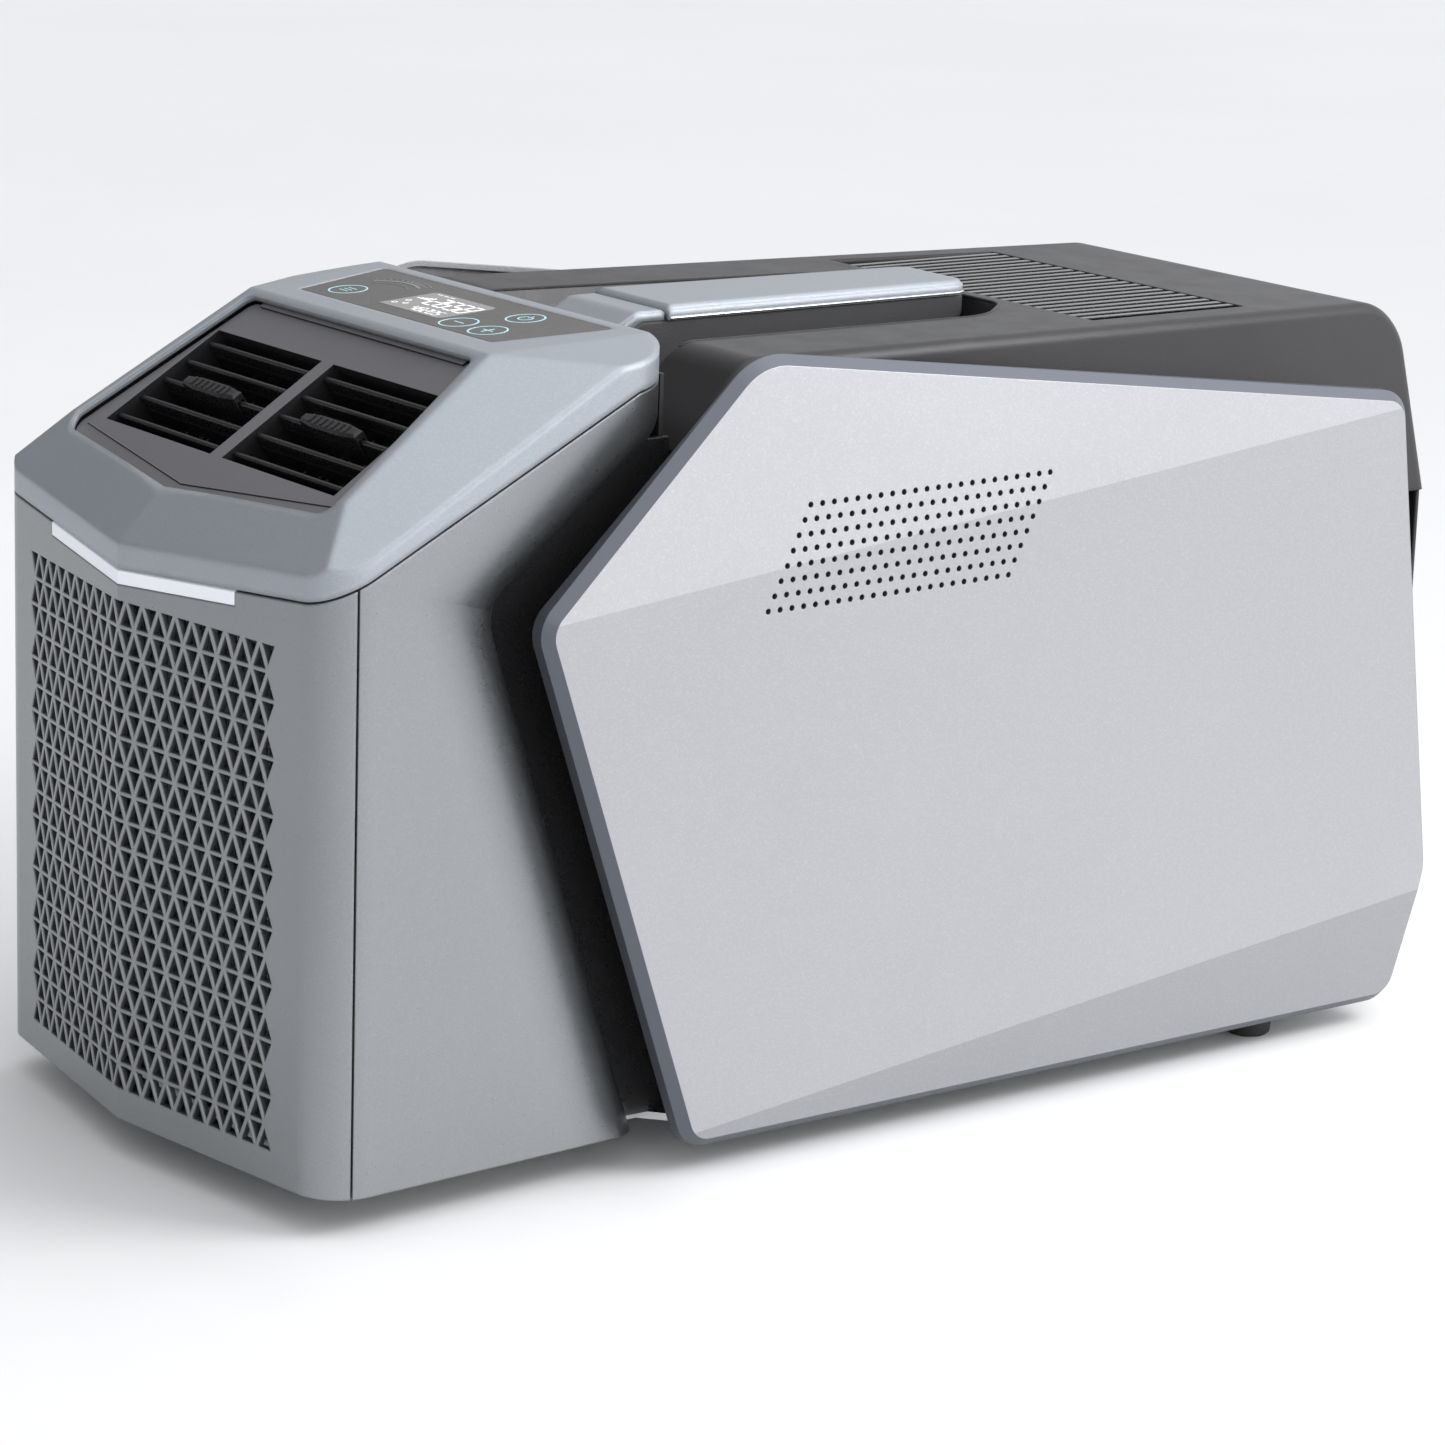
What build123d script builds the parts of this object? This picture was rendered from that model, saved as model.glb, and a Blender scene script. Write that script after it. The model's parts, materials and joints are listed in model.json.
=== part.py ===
from build123d import *
import os
from math import cos, radians, sin, sqrt, tan

# Portable air conditioner: a wedge-topped head with the cold-air vents, and a body with two
# faceted side panels, a carrying handle and a top grille.  Millimetres, +Z up, front towards -Y,
# origin on the ground under the middle of the machine.

# ---------------------------------------------------------------- driving dimensions
LENGTH = 585            # crease of the front grille to the back of the inlet cap
BODY_REAR = 580         # station of the rear cover's outer face
HEAD_WIDTH = 258        # across the front corners of the head
HEAD_DEPTH = 177        # front crease to the head's rear face
PANEL_WIDTH = 276       # across both side panels
BASE_Z = 16             # underside of the casings, the height of the feet
WALL = 2.5              # moulded wall thickness
SEAM = 1.0              # visible gap between neighbouring casings
CLEAR = 0.5             # assembly clearance inside

HEAD_HALF = HEAD_WIDTH / 2
SIDE_DRAW_IN = 0.055    # how much each side of the head narrows per millimetre towards the rear
HEAD_REAR_HALF = HEAD_HALF - SIDE_DRAW_IN * HEAD_DEPTH
CREASE = 18             # how far the front crease stands before the front corners
FRONT_RADIUS = 20
REAR_RADIUS = 24
SEAM_STATION = 29.5     # where the front shell meets the side shells

PARTING_FRONT_Z = 237.2   # height of the parting line at the front crease
PARTING_SLOPE = tan(radians(25.7))
PARTING_LEVEL = 157       # station behind which the parting line is almost level
CAP_TOP_Z = 326           # front edge of the flat top
CAP_TOP_STATION = 110
CAP_TOP_HALF = 88
CAP_TOP_RISE = 4.2        # degrees
CAP_TOP_LENGTH = 68       # of the flat top, front to rear
CAP_REAR_HALF = 97        # half-width of the flat top at its rear edge
VENT_ANGLE = 33           # degrees, slope of the vent face
BAND = 10.5               # height of the upright band round the cap
FRAME_HALF = 108          # outer face of the inner side frames
FRAME_WALL = 3


def st(station):
    """Y of a station, which is the distance behind the front crease."""
    return station - LENGTH / 2


def parting_z(station):
    """Height of the sloping parting line between the cap and the shells below."""
    return PARTING_FRONT_Z + PARTING_SLOPE * station


def save(piece, name):
    piece.part.label = name
    export_step(piece.part, f"parts/{name}.step")


def mirrored(piece, name):
    """The left-hand twin of a right-hand piece."""
    with BuildPart() as twin:
        add(mirror(piece.part, about=Plane.YZ, mode=Mode.PRIVATE))
    save(twin, name)


os.makedirs("parts", exist_ok=True)

# ---------------------------------------------------------------- shared outlines of the head
PARTING_END_Z = parting_z(PARTING_LEVEL) + 5


def head_plan(inset, height):
    """Plan of the head: pointed front, sides drawn in towards the rear, rounded corners."""
    side = HEAD_HALF - inset
    rear_side = HEAD_REAR_HALF - inset
    with BuildSketch(Plane.XY.offset(height)) as plan:
        with BuildLine():
            Polyline(
                (0, st(inset)),
                (side, st(CREASE + inset)),
                (rear_side, st(HEAD_DEPTH - inset)),
                (-rear_side, st(HEAD_DEPTH - inset)),
                (-side, st(CREASE + inset)),
                close=True,
            )
        make_face()
        fillet(plan.vertices().group_by(Axis.Y)[-1], REAR_RADIUS - inset)
        fillet(plan.vertices().group_by(Axis.Y)[1], FRONT_RADIUS - inset)
    return plan.sketch


def parting_profile(shift, to_height):
    """Side view of everything between the parting line, moved by shift, and a height."""
    with BuildSketch(Plane.YZ) as profile:
        with BuildLine():
            Polyline(
                (st(-10), parting_z(-10) + shift),
                (st(PARTING_LEVEL), parting_z(PARTING_LEVEL) + shift),
                (st(HEAD_DEPTH + 10), PARTING_END_Z + shift),
                (st(HEAD_DEPTH + 10), to_height),
                (st(-10), to_height),
                close=True,
            )
        make_face()
    return profile.sketch


def plane_through(a, b, c, inset):
    """Plane through three points, moved inwards (against its upward normal) by inset."""
    first, second, third = Vector(*a), Vector(*b), Vector(*c)
    normal = (second - first).cross(third - first).normalized()
    if normal.Z < 0:
        normal = normal * -1
    return Plane(origin=first - normal * inset, z_dir=normal)


VENT_SIN = sin(radians(VENT_ANGLE))
VENT_COS = cos(radians(VENT_ANGLE))
TOP_SLOPE = tan(radians(CAP_TOP_RISE))


def side_of_head(station):
    """Half-width of the head at a station behind its front corners."""
    return HEAD_HALF - SIDE_DRAW_IN * (station - CREASE)


def roof_planes(inset):
    """Planes that shape the cap: vent face, flat top, then fascia, shoulder and rear shoulder."""
    top_rear_z = CAP_TOP_Z + TOP_SLOPE * CAP_TOP_LENGTH
    top_rear_y = st(CAP_TOP_STATION + CAP_TOP_LENGTH)
    vent_edge = (CAP_TOP_HALF, st(CAP_TOP_STATION), CAP_TOP_Z)
    rear_corner = (CAP_REAR_HALF, top_rear_y, top_rear_z)
    band_rear = (side_of_head(156), st(156), parting_z(156) + BAND + 1)
    band_front = (side_of_head(46.5), st(46.5), parting_z(46.5) + BAND - 2.5)
    vent_low = (HEAD_HALF - 22, st(24), PARTING_FRONT_Z + 33)
    nose_low = (0, st(0), PARTING_FRONT_Z + BAND)
    nose_high = (0, st(14), PARTING_FRONT_Z + 25.3)
    corner_low = (HEAD_HALF, st(CREASE), parting_z(CREASE) + BAND)
    planes = [
        Plane(origin=(0, st(CAP_TOP_STATION) + VENT_SIN * inset, CAP_TOP_Z - VENT_COS * inset),
              z_dir=(0, -VENT_SIN, VENT_COS)),
        plane_through((0, st(CAP_TOP_STATION), CAP_TOP_Z), vent_edge,
                      (0, top_rear_y, top_rear_z), inset),
    ]
    for side in (1, -1):
        trio = [
            (nose_low, corner_low, nose_high),
            (vent_low, vent_edge, band_front),
            (vent_edge, rear_corner, band_rear),
        ]
        for points in trio:
            planes.append(plane_through(*[(side * x, y, z) for x, y, z in points], inset))
    return planes


def cap_form(inset):
    """The cap as a closed roof-shaped body, inset all round by the wall where it is hollowed."""
    with BuildPart() as form:
        extrude(head_plan(inset, PARTING_FRONT_Z - 10), amount=120)
        for roof in roof_planes(inset):
            split(bisect_by=roof, keep=Keep.BOTTOM)
    return form.part


# ---------------------------------------------------------------- vent face and display outlines
VENT_ORIGIN_STATION = 104.1
VENT_ORIGIN_Z = CAP_TOP_Z - (CAP_TOP_STATION - VENT_ORIGIN_STATION) * tan(radians(VENT_ANGLE))
BEZEL_RECESS = 4
BEZEL_THICK = 3


def vent_plane(depth):
    """Plane parallel to the vent face, depth millimetres below it; its Y runs up the slope."""
    return Plane(
        origin=(0, st(VENT_ORIGIN_STATION) + VENT_SIN * depth, VENT_ORIGIN_Z - VENT_COS * depth),
        x_dir=(1, 0, 0),
        z_dir=(0, -VENT_SIN, VENT_COS),
    )


def bezel_outline(grow, depth):
    """Outline of the vent bezel: straight top, sides that open downwards, pointed lower edge."""
    with BuildSketch(vent_plane(depth)) as outline:
        with BuildLine():
            Polyline(
                (-83 - grow, 3 + grow),
                (83 + grow, 3 + grow),
                (101 + grow, -86.5 - grow),
                (0, -100 - grow),
                (-101 - grow, -86.5 - grow),
                close=True,
            )
        make_face()
        fillet(outline.vertices().group_by(Axis.Y)[-1], 5 + grow)
        fillet(outline.vertices().group_by(Axis.Y)[1], 8 + grow)
    return outline.sketch


RIB_HALF = 4.4            # half of the rib between the two vent openings
OPENING_TOP = -16
OPENING_BOTTOM = -75.6
OPENING_TOP_HALF = 84.3
OPENING_BOTTOM_HALF = 87


def opening_half(slope_y):
    """Outer edge of a vent opening at a place down the slope."""
    spread = (OPENING_BOTTOM_HALF - OPENING_TOP_HALF) / (OPENING_TOP - OPENING_BOTTOM)
    return OPENING_TOP_HALF + (OPENING_TOP - slope_y) * spread


def vent_opening(grow, depth):
    """The two vent openings, grown all round, as one sketch."""
    with BuildSketch(vent_plane(depth)) as openings:
        for side in (1, -1):
            with BuildLine():
                Polyline(
                    (side * (RIB_HALF - grow), OPENING_TOP + grow),
                    (side * (OPENING_TOP_HALF + grow), OPENING_TOP + grow),
                    (side * (OPENING_BOTTOM_HALF + grow), OPENING_BOTTOM - grow),
                    (side * (RIB_HALF - grow), OPENING_BOTTOM - grow),
                    close=True,
                )
            make_face()
    return openings.sketch


TOP_NORMAL_Y = -sin(radians(CAP_TOP_RISE))
TOP_NORMAL_Z = cos(radians(CAP_TOP_RISE))
DISPLAY_THICK = 1.8


def top_plane(depth):
    """Plane parallel to the flat top, depth millimetres below it; its origin is at its front."""
    return Plane(
        origin=(0, st(CAP_TOP_STATION) - TOP_NORMAL_Y * depth, CAP_TOP_Z - TOP_NORMAL_Z * depth),
        x_dir=(1, 0, 0),
        z_dir=(0, TOP_NORMAL_Y, TOP_NORMAL_Z),
    )


def display_outline(grow, depth):
    """Outline of the display glass: a trapezium, wider at the rear."""
    with BuildSketch(top_plane(depth)) as outline:
        with BuildLine():
            Polyline(
                (-70.5 - grow, 12.5 - grow),
                (70.5 + grow, 12.5 - grow),
                (83 + grow, 60.5 + grow),
                (-83 - grow, 60.5 + grow),
                close=True,
            )
        make_face()
        fillet(outline.vertices(), 2 + grow)
    return outline.sketch


# ---------------------------------------------------------------- cap
with BuildPart() as top_cap:
    add(cap_form(0))
    add(cap_form(WALL), mode=Mode.SUBTRACT)
    extrude(parting_profile(SEAM / 2, 400), amount=HEAD_WIDTH, both=True, mode=Mode.INTERSECT)
    extrude(bezel_outline(0, -5), amount=-30, mode=Mode.SUBTRACT)
    extrude(display_outline(0.15, -3), amount=-3 - DISPLAY_THICK, mode=Mode.SUBTRACT)
save(top_cap, "top_cap")

with BuildPart() as display_glass:
    extrude(display_outline(0, 0), amount=-DISPLAY_THICK + 0.1)
    chamfer(display_glass.faces().sort_by(Axis.Z)[-1].edges(), 0.3)
save(display_glass, "display_glass")

with BuildPart() as control_board:
    with BuildSketch(top_plane(9)):
        with Locations((0, 36)):
            Rectangle(130, 40)
    extrude(amount=-1.6)
    with BuildSketch(top_plane(9)):
        with Locations((0, 38)):
            Rectangle(58, 24)
        with Locations((-52, 36), (48, 26), (48, 46)):
            Rectangle(12, 8)
    extrude(amount=3)
save(control_board, "control_board")

# ---------------------------------------------------------------- vent bezel, louvers and vanes
LOUVER_PITCH = 12
LOUVER_COUNT = 5
LOUVER_DEPTH = 12          # pivot line below the cap's vent face
LOUVER_CHORD = 13
LOUVER_THICK = 2.4
PIN_RADIUS = 1.5
PIN_CLEAR = 0.05
FRAME_DEPTH = 40           # how deep the vent frame reaches
FRAME_RIB = 2.2
END_GAP = 0.6
VANE_DEPTH = 30
VANE_CHORD = 13
VANE_THICK = 1.6
VANE_PLACES = (20, 37, 54, 71)
louver_rows = [-22 - LOUVER_PITCH * row for row in range(LOUVER_COUNT)]


with BuildPart() as vent_bezel:
    extrude(bezel_outline(-0.3, BEZEL_RECESS), amount=-BEZEL_THICK)
    with Locations(vent_plane(BEZEL_RECESS + 0.5)):
        with Locations((0, 3.5, 0)):
            Box(150, 5, BEZEL_THICK)
    extrude(vent_opening(FRAME_RIB, BEZEL_RECESS + 1), amount=BEZEL_RECESS + 1 - FRAME_DEPTH)
    extrude(vent_opening(0, 0), amount=-FRAME_DEPTH - 5, mode=Mode.SUBTRACT)
    with Locations(vent_plane(LOUVER_DEPTH)):
        with Locations([(0, row, 0) for row in louver_rows]):
            Cylinder(PIN_RADIUS + PIN_CLEAR, 2 * OPENING_BOTTOM_HALF + 10, rotation=(0, 90, 0),
                     mode=Mode.SUBTRACT)
    with Locations(vent_plane(VANE_DEPTH)):
        with Locations([(side * place, -45.8, 0) for place in VANE_PLACES for side in (1, -1)]):
            Cylinder(PIN_RADIUS + PIN_CLEAR, 70, rotation=(90, 0, 0), mode=Mode.SUBTRACT)
save(vent_bezel, "vent_bezel")


def louver(side, row):
    """A vent blade of rounded section with a pivot pin at each end."""
    inner = RIB_HALF + END_GAP
    outer = opening_half(row) - END_GAP
    middle = side * (inner + outer) / 2
    with BuildPart() as blade:
        with Locations(vent_plane(LOUVER_DEPTH)):
            with Locations((middle, row, 0)):
                Box(outer - inner, LOUVER_THICK, LOUVER_CHORD)
                fillet(blade.edges().filter_by(Axis.X), LOUVER_THICK / 2 - 0.1)
                Cylinder(PIN_RADIUS, outer - inner + 2 * (END_GAP + FRAME_RIB - 0.3),
                         rotation=(0, 90, 0))
    return blade


def vane(side, place):
    """A guide vane behind the blades, upright in the vent, pivoting on pins above and below."""
    top = OPENING_TOP - END_GAP
    bottom = OPENING_BOTTOM + END_GAP
    with BuildPart() as plate:
        with Locations(vent_plane(VANE_DEPTH)):
            with Locations((side * place, (top + bottom) / 2, 0)):
                Box(VANE_THICK, top - bottom, VANE_CHORD)
                Cylinder(PIN_RADIUS, top - bottom + 2 * (END_GAP + FRAME_RIB - 0.3),
                         rotation=(90, 0, 0))
    return plate


TAB_WIDTH = 40
TAB_HEIGHT = 7
TAB_END_HEIGHT = 4.4
TAB_FRONT = 1.5            # depth of the thumb tab's front below the vent face
TAB_BACK = 15.5
TAB_PLACE = 45
TAB_CLEAR = 0.3


def thumb_tab(side):
    """A thumb slider that straddles the middle blade and slides along it."""
    row = louver_rows[LOUVER_COUNT // 2]
    slot_front = LOUVER_DEPTH - LOUVER_CHORD / 2 - TAB_CLEAR
    slot_length = TAB_BACK - slot_front + 1
    end = TAB_WIDTH / 2
    with BuildPart() as tab:
        with BuildSketch(vent_plane(TAB_BACK)):
            with Locations((side * TAB_PLACE, row)):
                Polygon(
                    (-end, -TAB_END_HEIGHT / 2), (-end / 2, -TAB_HEIGHT / 2),
                    (end / 2, -TAB_HEIGHT / 2), (end, -TAB_END_HEIGHT / 2),
                    (end, TAB_END_HEIGHT / 2), (end / 2, TAB_HEIGHT / 2),
                    (-end / 2, TAB_HEIGHT / 2), (-end, TAB_END_HEIGHT / 2),
                    align=None,
                )
        extrude(amount=TAB_BACK - TAB_FRONT)
        front_face = tab.faces().sort_by_distance(vent_plane(0).origin)
        front_face = [f for f in front_face if f.normal_at().dot(vent_plane(0).z_dir) > 0.99]
        chamfer(front_face[0].edges(), 1)
        with Locations(vent_plane(slot_front + slot_length / 2)):
            with Locations((side * TAB_PLACE, row, 0)):
                Box(TAB_WIDTH + 2, LOUVER_THICK + 2 * TAB_CLEAR, slot_length, mode=Mode.SUBTRACT)
    return tab


for hand, side in (("right", 1), ("left", -1)):
    for number, row in enumerate(louver_rows, start=1):
        save(louver(side, row), f"louver_{hand}_{number}")
    for number, place in enumerate(VANE_PLACES, start=1):
        save(vane(side, place), f"vane_{hand}_{number}")
    save(thumb_tab(side), f"thumb_tab_{hand}")

# ---------------------------------------------------------------- front shell and light bar
GRILLE_BOTTOM = 28
GRILLE_ROWS = 18
ROW_PITCH = 11
TRIANGLE_PITCH = 10.1
TRIANGLES_EACH_WAY = 18
RIB = 1.5
BAR_HALF = 71
BAR_HEIGHT = 5.6


def triangle_holes():
    """Rows of triangles, alternately point up and point down, as one sketch seen from the front."""
    half = TRIANGLE_PITCH / 2
    slant = sqrt(half ** 2 + ROW_PITCH ** 2)
    inner_radius = TRIANGLE_PITCH * ROW_PITCH / (TRIANGLE_PITCH + 2 * slant)
    shrink = (inner_radius - RIB / 2) / inner_radius
    base = inner_radius * (1 - shrink)
    places = {1: [], -1: []}
    for row in range(GRILLE_ROWS):
        low = GRILLE_BOTTOM + row * ROW_PITCH
        for step in range(-TRIANGLES_EACH_WAY, TRIANGLES_EACH_WAY + 1):
            flip = 1 if (step + row) % 2 == 0 else -1
            foot = low + base if flip > 0 else low + ROW_PITCH - base
            places[flip].append((half * step, foot))
    with BuildSketch(Plane.XZ.offset(-st(CREASE + 10))) as holes:
        for flip, points in places.items():
            with Locations(points):
                Polygon(
                    (-half * shrink, 0),
                    (half * shrink, 0),
                    (0, flip * ROW_PITCH * shrink),
                    align=None,
                )
    return holes.sketch


with BuildPart() as front_shell:
    extrude(head_plan(0, BASE_Z), amount=HEAD_WIDTH)
    extrude(head_plan(WALL, BASE_Z + WALL), amount=HEAD_WIDTH, mode=Mode.SUBTRACT)
    extrude(parting_profile(-SEAM / 2, BASE_Z - 5), amount=HEAD_WIDTH, both=True,
            mode=Mode.INTERSECT)
    with Locations((0, st(SEAM_STATION - SEAM / 2), 0)):
        Box(2 * HEAD_WIDTH, LENGTH, 2 * HEAD_WIDTH + 200, mode=Mode.SUBTRACT,
            align=(Align.CENTER, Align.MIN, Align.CENTER))
    with BuildSketch(Plane.YZ):
        with BuildLine():
            Polyline(
                (st(-5), parting_z(-5) - BAR_HEIGHT - 0.3),
                (st(25), parting_z(25) - BAR_HEIGHT - 0.3),
                (st(25), parting_z(25) + 5),
                (st(-5), parting_z(-5) + 5),
                close=True,
            )
        make_face()
    extrude(amount=BAR_HALF + 0.3, both=True, mode=Mode.SUBTRACT)
    extrude(triangle_holes(), amount=2 * CREASE, mode=Mode.SUBTRACT)
save(front_shell, "front_shell")

with BuildPart() as light_bar:
    extrude(head_plan(0, BASE_Z), amount=HEAD_WIDTH)
    extrude(head_plan(WALL, BASE_Z), amount=HEAD_WIDTH, mode=Mode.SUBTRACT)
    with BuildSketch(Plane.YZ):
        with BuildLine():
            Polyline(
                (st(-5), parting_z(-5) - BAR_HEIGHT),
                (st(25), parting_z(25) - BAR_HEIGHT),
                (st(25), parting_z(25) - SEAM / 2),
                (st(-5), parting_z(-5) - SEAM / 2),
                close=True,
            )
        make_face()
    extrude(amount=BAR_HALF, both=True, mode=Mode.INTERSECT)
save(light_bar, "light_bar")

# ---------------------------------------------------------------- side shells of the head
NOTCH = (91, 236)          # station and height of the corner where the rear edge turns
SHELL_FOOT = (167, BASE_Z)
SHELL_SHOULDER = (HEAD_DEPTH + 6, 304)
ROLL = 11                  # outer radius of the rolled-in rear edge
ROLL_INSIDE = 6


def side_profile(inset):
    """Side view of a head shell: straight seam, rear edge that leans in to a corner and out."""
    with BuildSketch(Plane.YZ) as profile:
        with BuildLine():
            Polyline(
                (st(SEAM_STATION + SEAM / 2), BASE_Z - 5 + inset),
                (st(SHELL_FOOT[0] + 2 - inset), BASE_Z - 5 + inset),
                (st(NOTCH[0] - inset), NOTCH[1]),
                (st(SHELL_SHOULDER[0] - inset), SHELL_SHOULDER[1]),
                (st(SHELL_SHOULDER[0] - inset), 340),
                (st(SEAM_STATION + SEAM / 2), 340),
                close=True,
            )
        make_face()
        notch = profile.vertices().filter_by(lambda v: abs(v.Y - NOTCH[1]) < 1)
        fillet(notch, 14 + inset)
    return profile.sketch


def side_form(inset):
    """Solid right half of the head between seam and rear edge, with the rear edge rolled in."""
    with BuildPart() as form:
        extrude(head_plan(inset, BASE_Z + inset), amount=CAP_TOP_Z)
        extrude(side_profile(inset), amount=HEAD_WIDTH, mode=Mode.INTERSECT)
        with Locations((FRAME_HALF + SEAM / 2 - inset, 0, 0)):
            Box(60, 2 * LENGTH, 800, mode=Mode.INTERSECT,
                align=(Align.MIN, Align.CENTER, Align.CENTER))
        outer = form.faces().filter_by(GeomType.PLANE).filter_by(
            lambda f: f.normal_at().X > 0.9 and f.area > 5000)
        seam_y = st(SEAM_STATION + SEAM / 2)
        rolled = outer.edges().filter_by(
            lambda e: e.center().Y > seam_y + 8 and e.center().Z > BASE_Z + 10
            and e.center().Z < 298 and e.center().Y < st(160))
        fillet(rolled, ROLL if inset == 0 else ROLL_INSIDE)
    return form.part


with BuildPart() as head_side:
    add(side_form(0))
    add(side_form(WALL), mode=Mode.SUBTRACT)
    extrude(parting_profile(-SEAM / 2, BASE_Z - 5), amount=HEAD_WIDTH, both=True,
            mode=Mode.INTERSECT)
save(head_side, "head_side_right")
mirrored(head_side, "head_side_left")

# ---------------------------------------------------------------- side panels
PANEL_HALF = PANEL_WIDTH / 2
PANEL_DEPTH = 10
PANEL_FRONT = 103           # station of the panel's front corner
PANEL_CHAMFER = 4
PANEL_CORNERS = {           # (station, height): corner radius, going round from the front corner
    (PANEL_FRONT, 230): 14,
    (205, 326): 30,
    (545.5, 284.5): 14,
    (577, 71): 14,
    (563, 11): 14,
    (178.5, 11): 14,
}
UPPER_LEAN = 4              # degrees, the upper facet leans in above its crease
LOWER_LEAN = 5
CREASE_SLOPE = 0.11         # both creases rise towards the rear
UPPER_CREASE_Z = 230        # at the front corner
LOWER_CREASE_Z = 10         # at the same station, so it meets the lower edge further back
HOLE_PITCH = 5.7
HOLE_RADIUS = 1.2
HOLE_ROWS = 8
HOLE_COLUMNS = 22


def facet_cut(lean, crease_z, inset):
    """Plane of a leaning panel facet through its crease; its normal points outwards."""
    start = Vector(PANEL_HALF - inset, st(PANEL_FRONT), crease_z)
    along = Vector(0, 1, CREASE_SLOPE).normalized()
    outward = Vector(cos(radians(lean)), 0, sin(radians(lean)))
    return Plane(origin=start, x_dir=along, z_dir=(outward - along * outward.dot(along)))


def panel_outline(inset):
    """Side view of a panel: six corners, each with its own radius."""
    with BuildSketch(Plane.YZ) as outline:
        with BuildLine():
            Polyline(*[(st(x), z) for x, z in PANEL_CORNERS], close=True)
        make_face()
        for (x, z), radius in PANEL_CORNERS.items():
            corner = outline.vertices().sort_by_distance(Vector(st(x), z, 0))[0]
            fillet(corner, radius)
        if inset:
            offset(amount=-inset, mode=Mode.REPLACE)
    return outline.sketch


def panel_form(inset):
    """Solid right-hand panel between its inner plane and its faceted outer face."""
    inner = PANEL_HALF - PANEL_DEPTH - inset
    with BuildPart() as form:
        extrude(panel_outline(inset), amount=PANEL_HALF + 10)
        split(bisect_by=Plane(origin=(inner, 0, 0), z_dir=(1, 0, 0)), keep=Keep.TOP)
        split(bisect_by=Plane(origin=(PANEL_HALF - inset, 0, 0), z_dir=(1, 0, 0)),
              keep=Keep.BOTTOM)
        split(bisect_by=facet_cut(UPPER_LEAN, UPPER_CREASE_Z, inset), keep=Keep.BOTTOM)
        split(bisect_by=facet_cut(-LOWER_LEAN, LOWER_CREASE_Z, inset), keep=Keep.BOTTOM)
    return form.part


BOSS_PLACES = ((150, 215), (215, 60), (500, 60), (500, 215))

with BuildPart() as side_panel:
    add(panel_form(0))
    rim = side_panel.faces().filter_by(lambda f: abs(f.normal_at().X) > 0.9
                                       and f.center().X > PANEL_HALF - 8)
    rim_edges = rim.edges().filter_by(
        lambda e: len([f for f in rim if e in f.edges()]) == 1)
    chamfer(rim_edges, PANEL_CHAMFER)
    add(panel_form(WALL), mode=Mode.SUBTRACT)
    with Locations(*[(FRAME_HALF + 0.02, st(x), z) for x, z in BOSS_PLACES]):
        Cylinder(6, PANEL_HALF - WALL / 2 - FRAME_HALF, rotation=(0, 90, 0),
                 align=(Align.CENTER, Align.CENTER, Align.MIN))
    with BuildSketch(Plane.YZ):
        with Locations([
            (st(208 + HOLE_PITCH * (column + row / 2)), 226 + HOLE_PITCH * row + 0.1 * column)
            for row in range(HOLE_ROWS) for column in range(HOLE_COLUMNS)
        ]):
            Circle(HOLE_RADIUS)
    extrude(amount=PANEL_HALF + 5, mode=Mode.SUBTRACT)
save(side_panel, "side_panel_right")
mirrored(side_panel, "side_panel_left")

# ---------------------------------------------------------------- inner side frames and base pan
DECK_BASE_Z = 236
PAN_FLOOR = 3
PAN_HALF = 122

with BuildPart() as side_frame:
    with BuildSketch(Plane.YZ.offset(FRAME_HALF - FRAME_WALL)):
        with BuildLine():
            Polyline(
                (st(34), BASE_Z + PAN_FLOOR + 0.1),
                (st(574), BASE_Z + PAN_FLOOR + 0.1),
                (st(574), DECK_BASE_Z - 1),
                (st(180), DECK_BASE_Z - 1),
                (st(180), 292),
                (st(150), 292),
                (st(34), parting_z(34) - 12),
                close=True,
            )
        make_face()
    extrude(amount=FRAME_WALL)
    with BuildSketch(Plane.YZ.offset(FRAME_HALF)):
        with Locations(*[(st(x), z) for x, z in BOSS_PLACES]):
            Circle(2.6)
    extrude(amount=-FRAME_WALL, mode=Mode.SUBTRACT)
save(side_frame, "side_frame_right")
mirrored(side_frame, "side_frame_left")


def pan_plan(inset):
    """Plan of the base pan: narrow inside the head, wider under the body."""
    narrow = FRAME_HALF - FRAME_WALL - CLEAR - inset
    with BuildSketch(Plane.XY.offset(BASE_Z)) as plan:
        with BuildLine():
            Polyline(
                (narrow, st(33 + inset)), (narrow, st(176 + inset)),
                (PAN_HALF - inset, st(192 + inset)), (PAN_HALF - inset, st(556)),
                (narrow, st(575.5 - inset)), (-narrow, st(575.5 - inset)),
                (-PAN_HALF + inset, st(556)), (-PAN_HALF + inset, st(192 + inset)),
                (-narrow, st(176 + inset)), (-narrow, st(33 + inset)),
                close=True,
            )
        make_face()
    return plan.sketch


with BuildPart() as base_pan:
    extrude(pan_plan(0), amount=PAN_FLOOR)
    with Locations((0, st(178), BASE_Z + PAN_FLOOR)):
        Box(180, 2, 10, align=(Align.CENTER, Align.CENTER, Align.MIN))
    with Locations((0, st(81), BASE_Z + PAN_FLOOR)):
        Box(180, 2, 10, align=(Align.CENTER, Align.CENTER, Align.MIN))
save(base_pan, "base_pan")

with BuildPart() as rubber_feet:
    with Locations((72, st(64), 0), (-72, st(64), 0), (110, st(500), 0), (-110, st(500), 0)):
        Cone(9.5, 11.5, BASE_Z, align=(Align.CENTER, Align.CENTER, Align.MIN))
    chamfer(rubber_feet.faces().filter_by(Axis.Z).group_by(Axis.Z)[0].edges(), 1)
save(rubber_feet, "rubber_feet")

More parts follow.
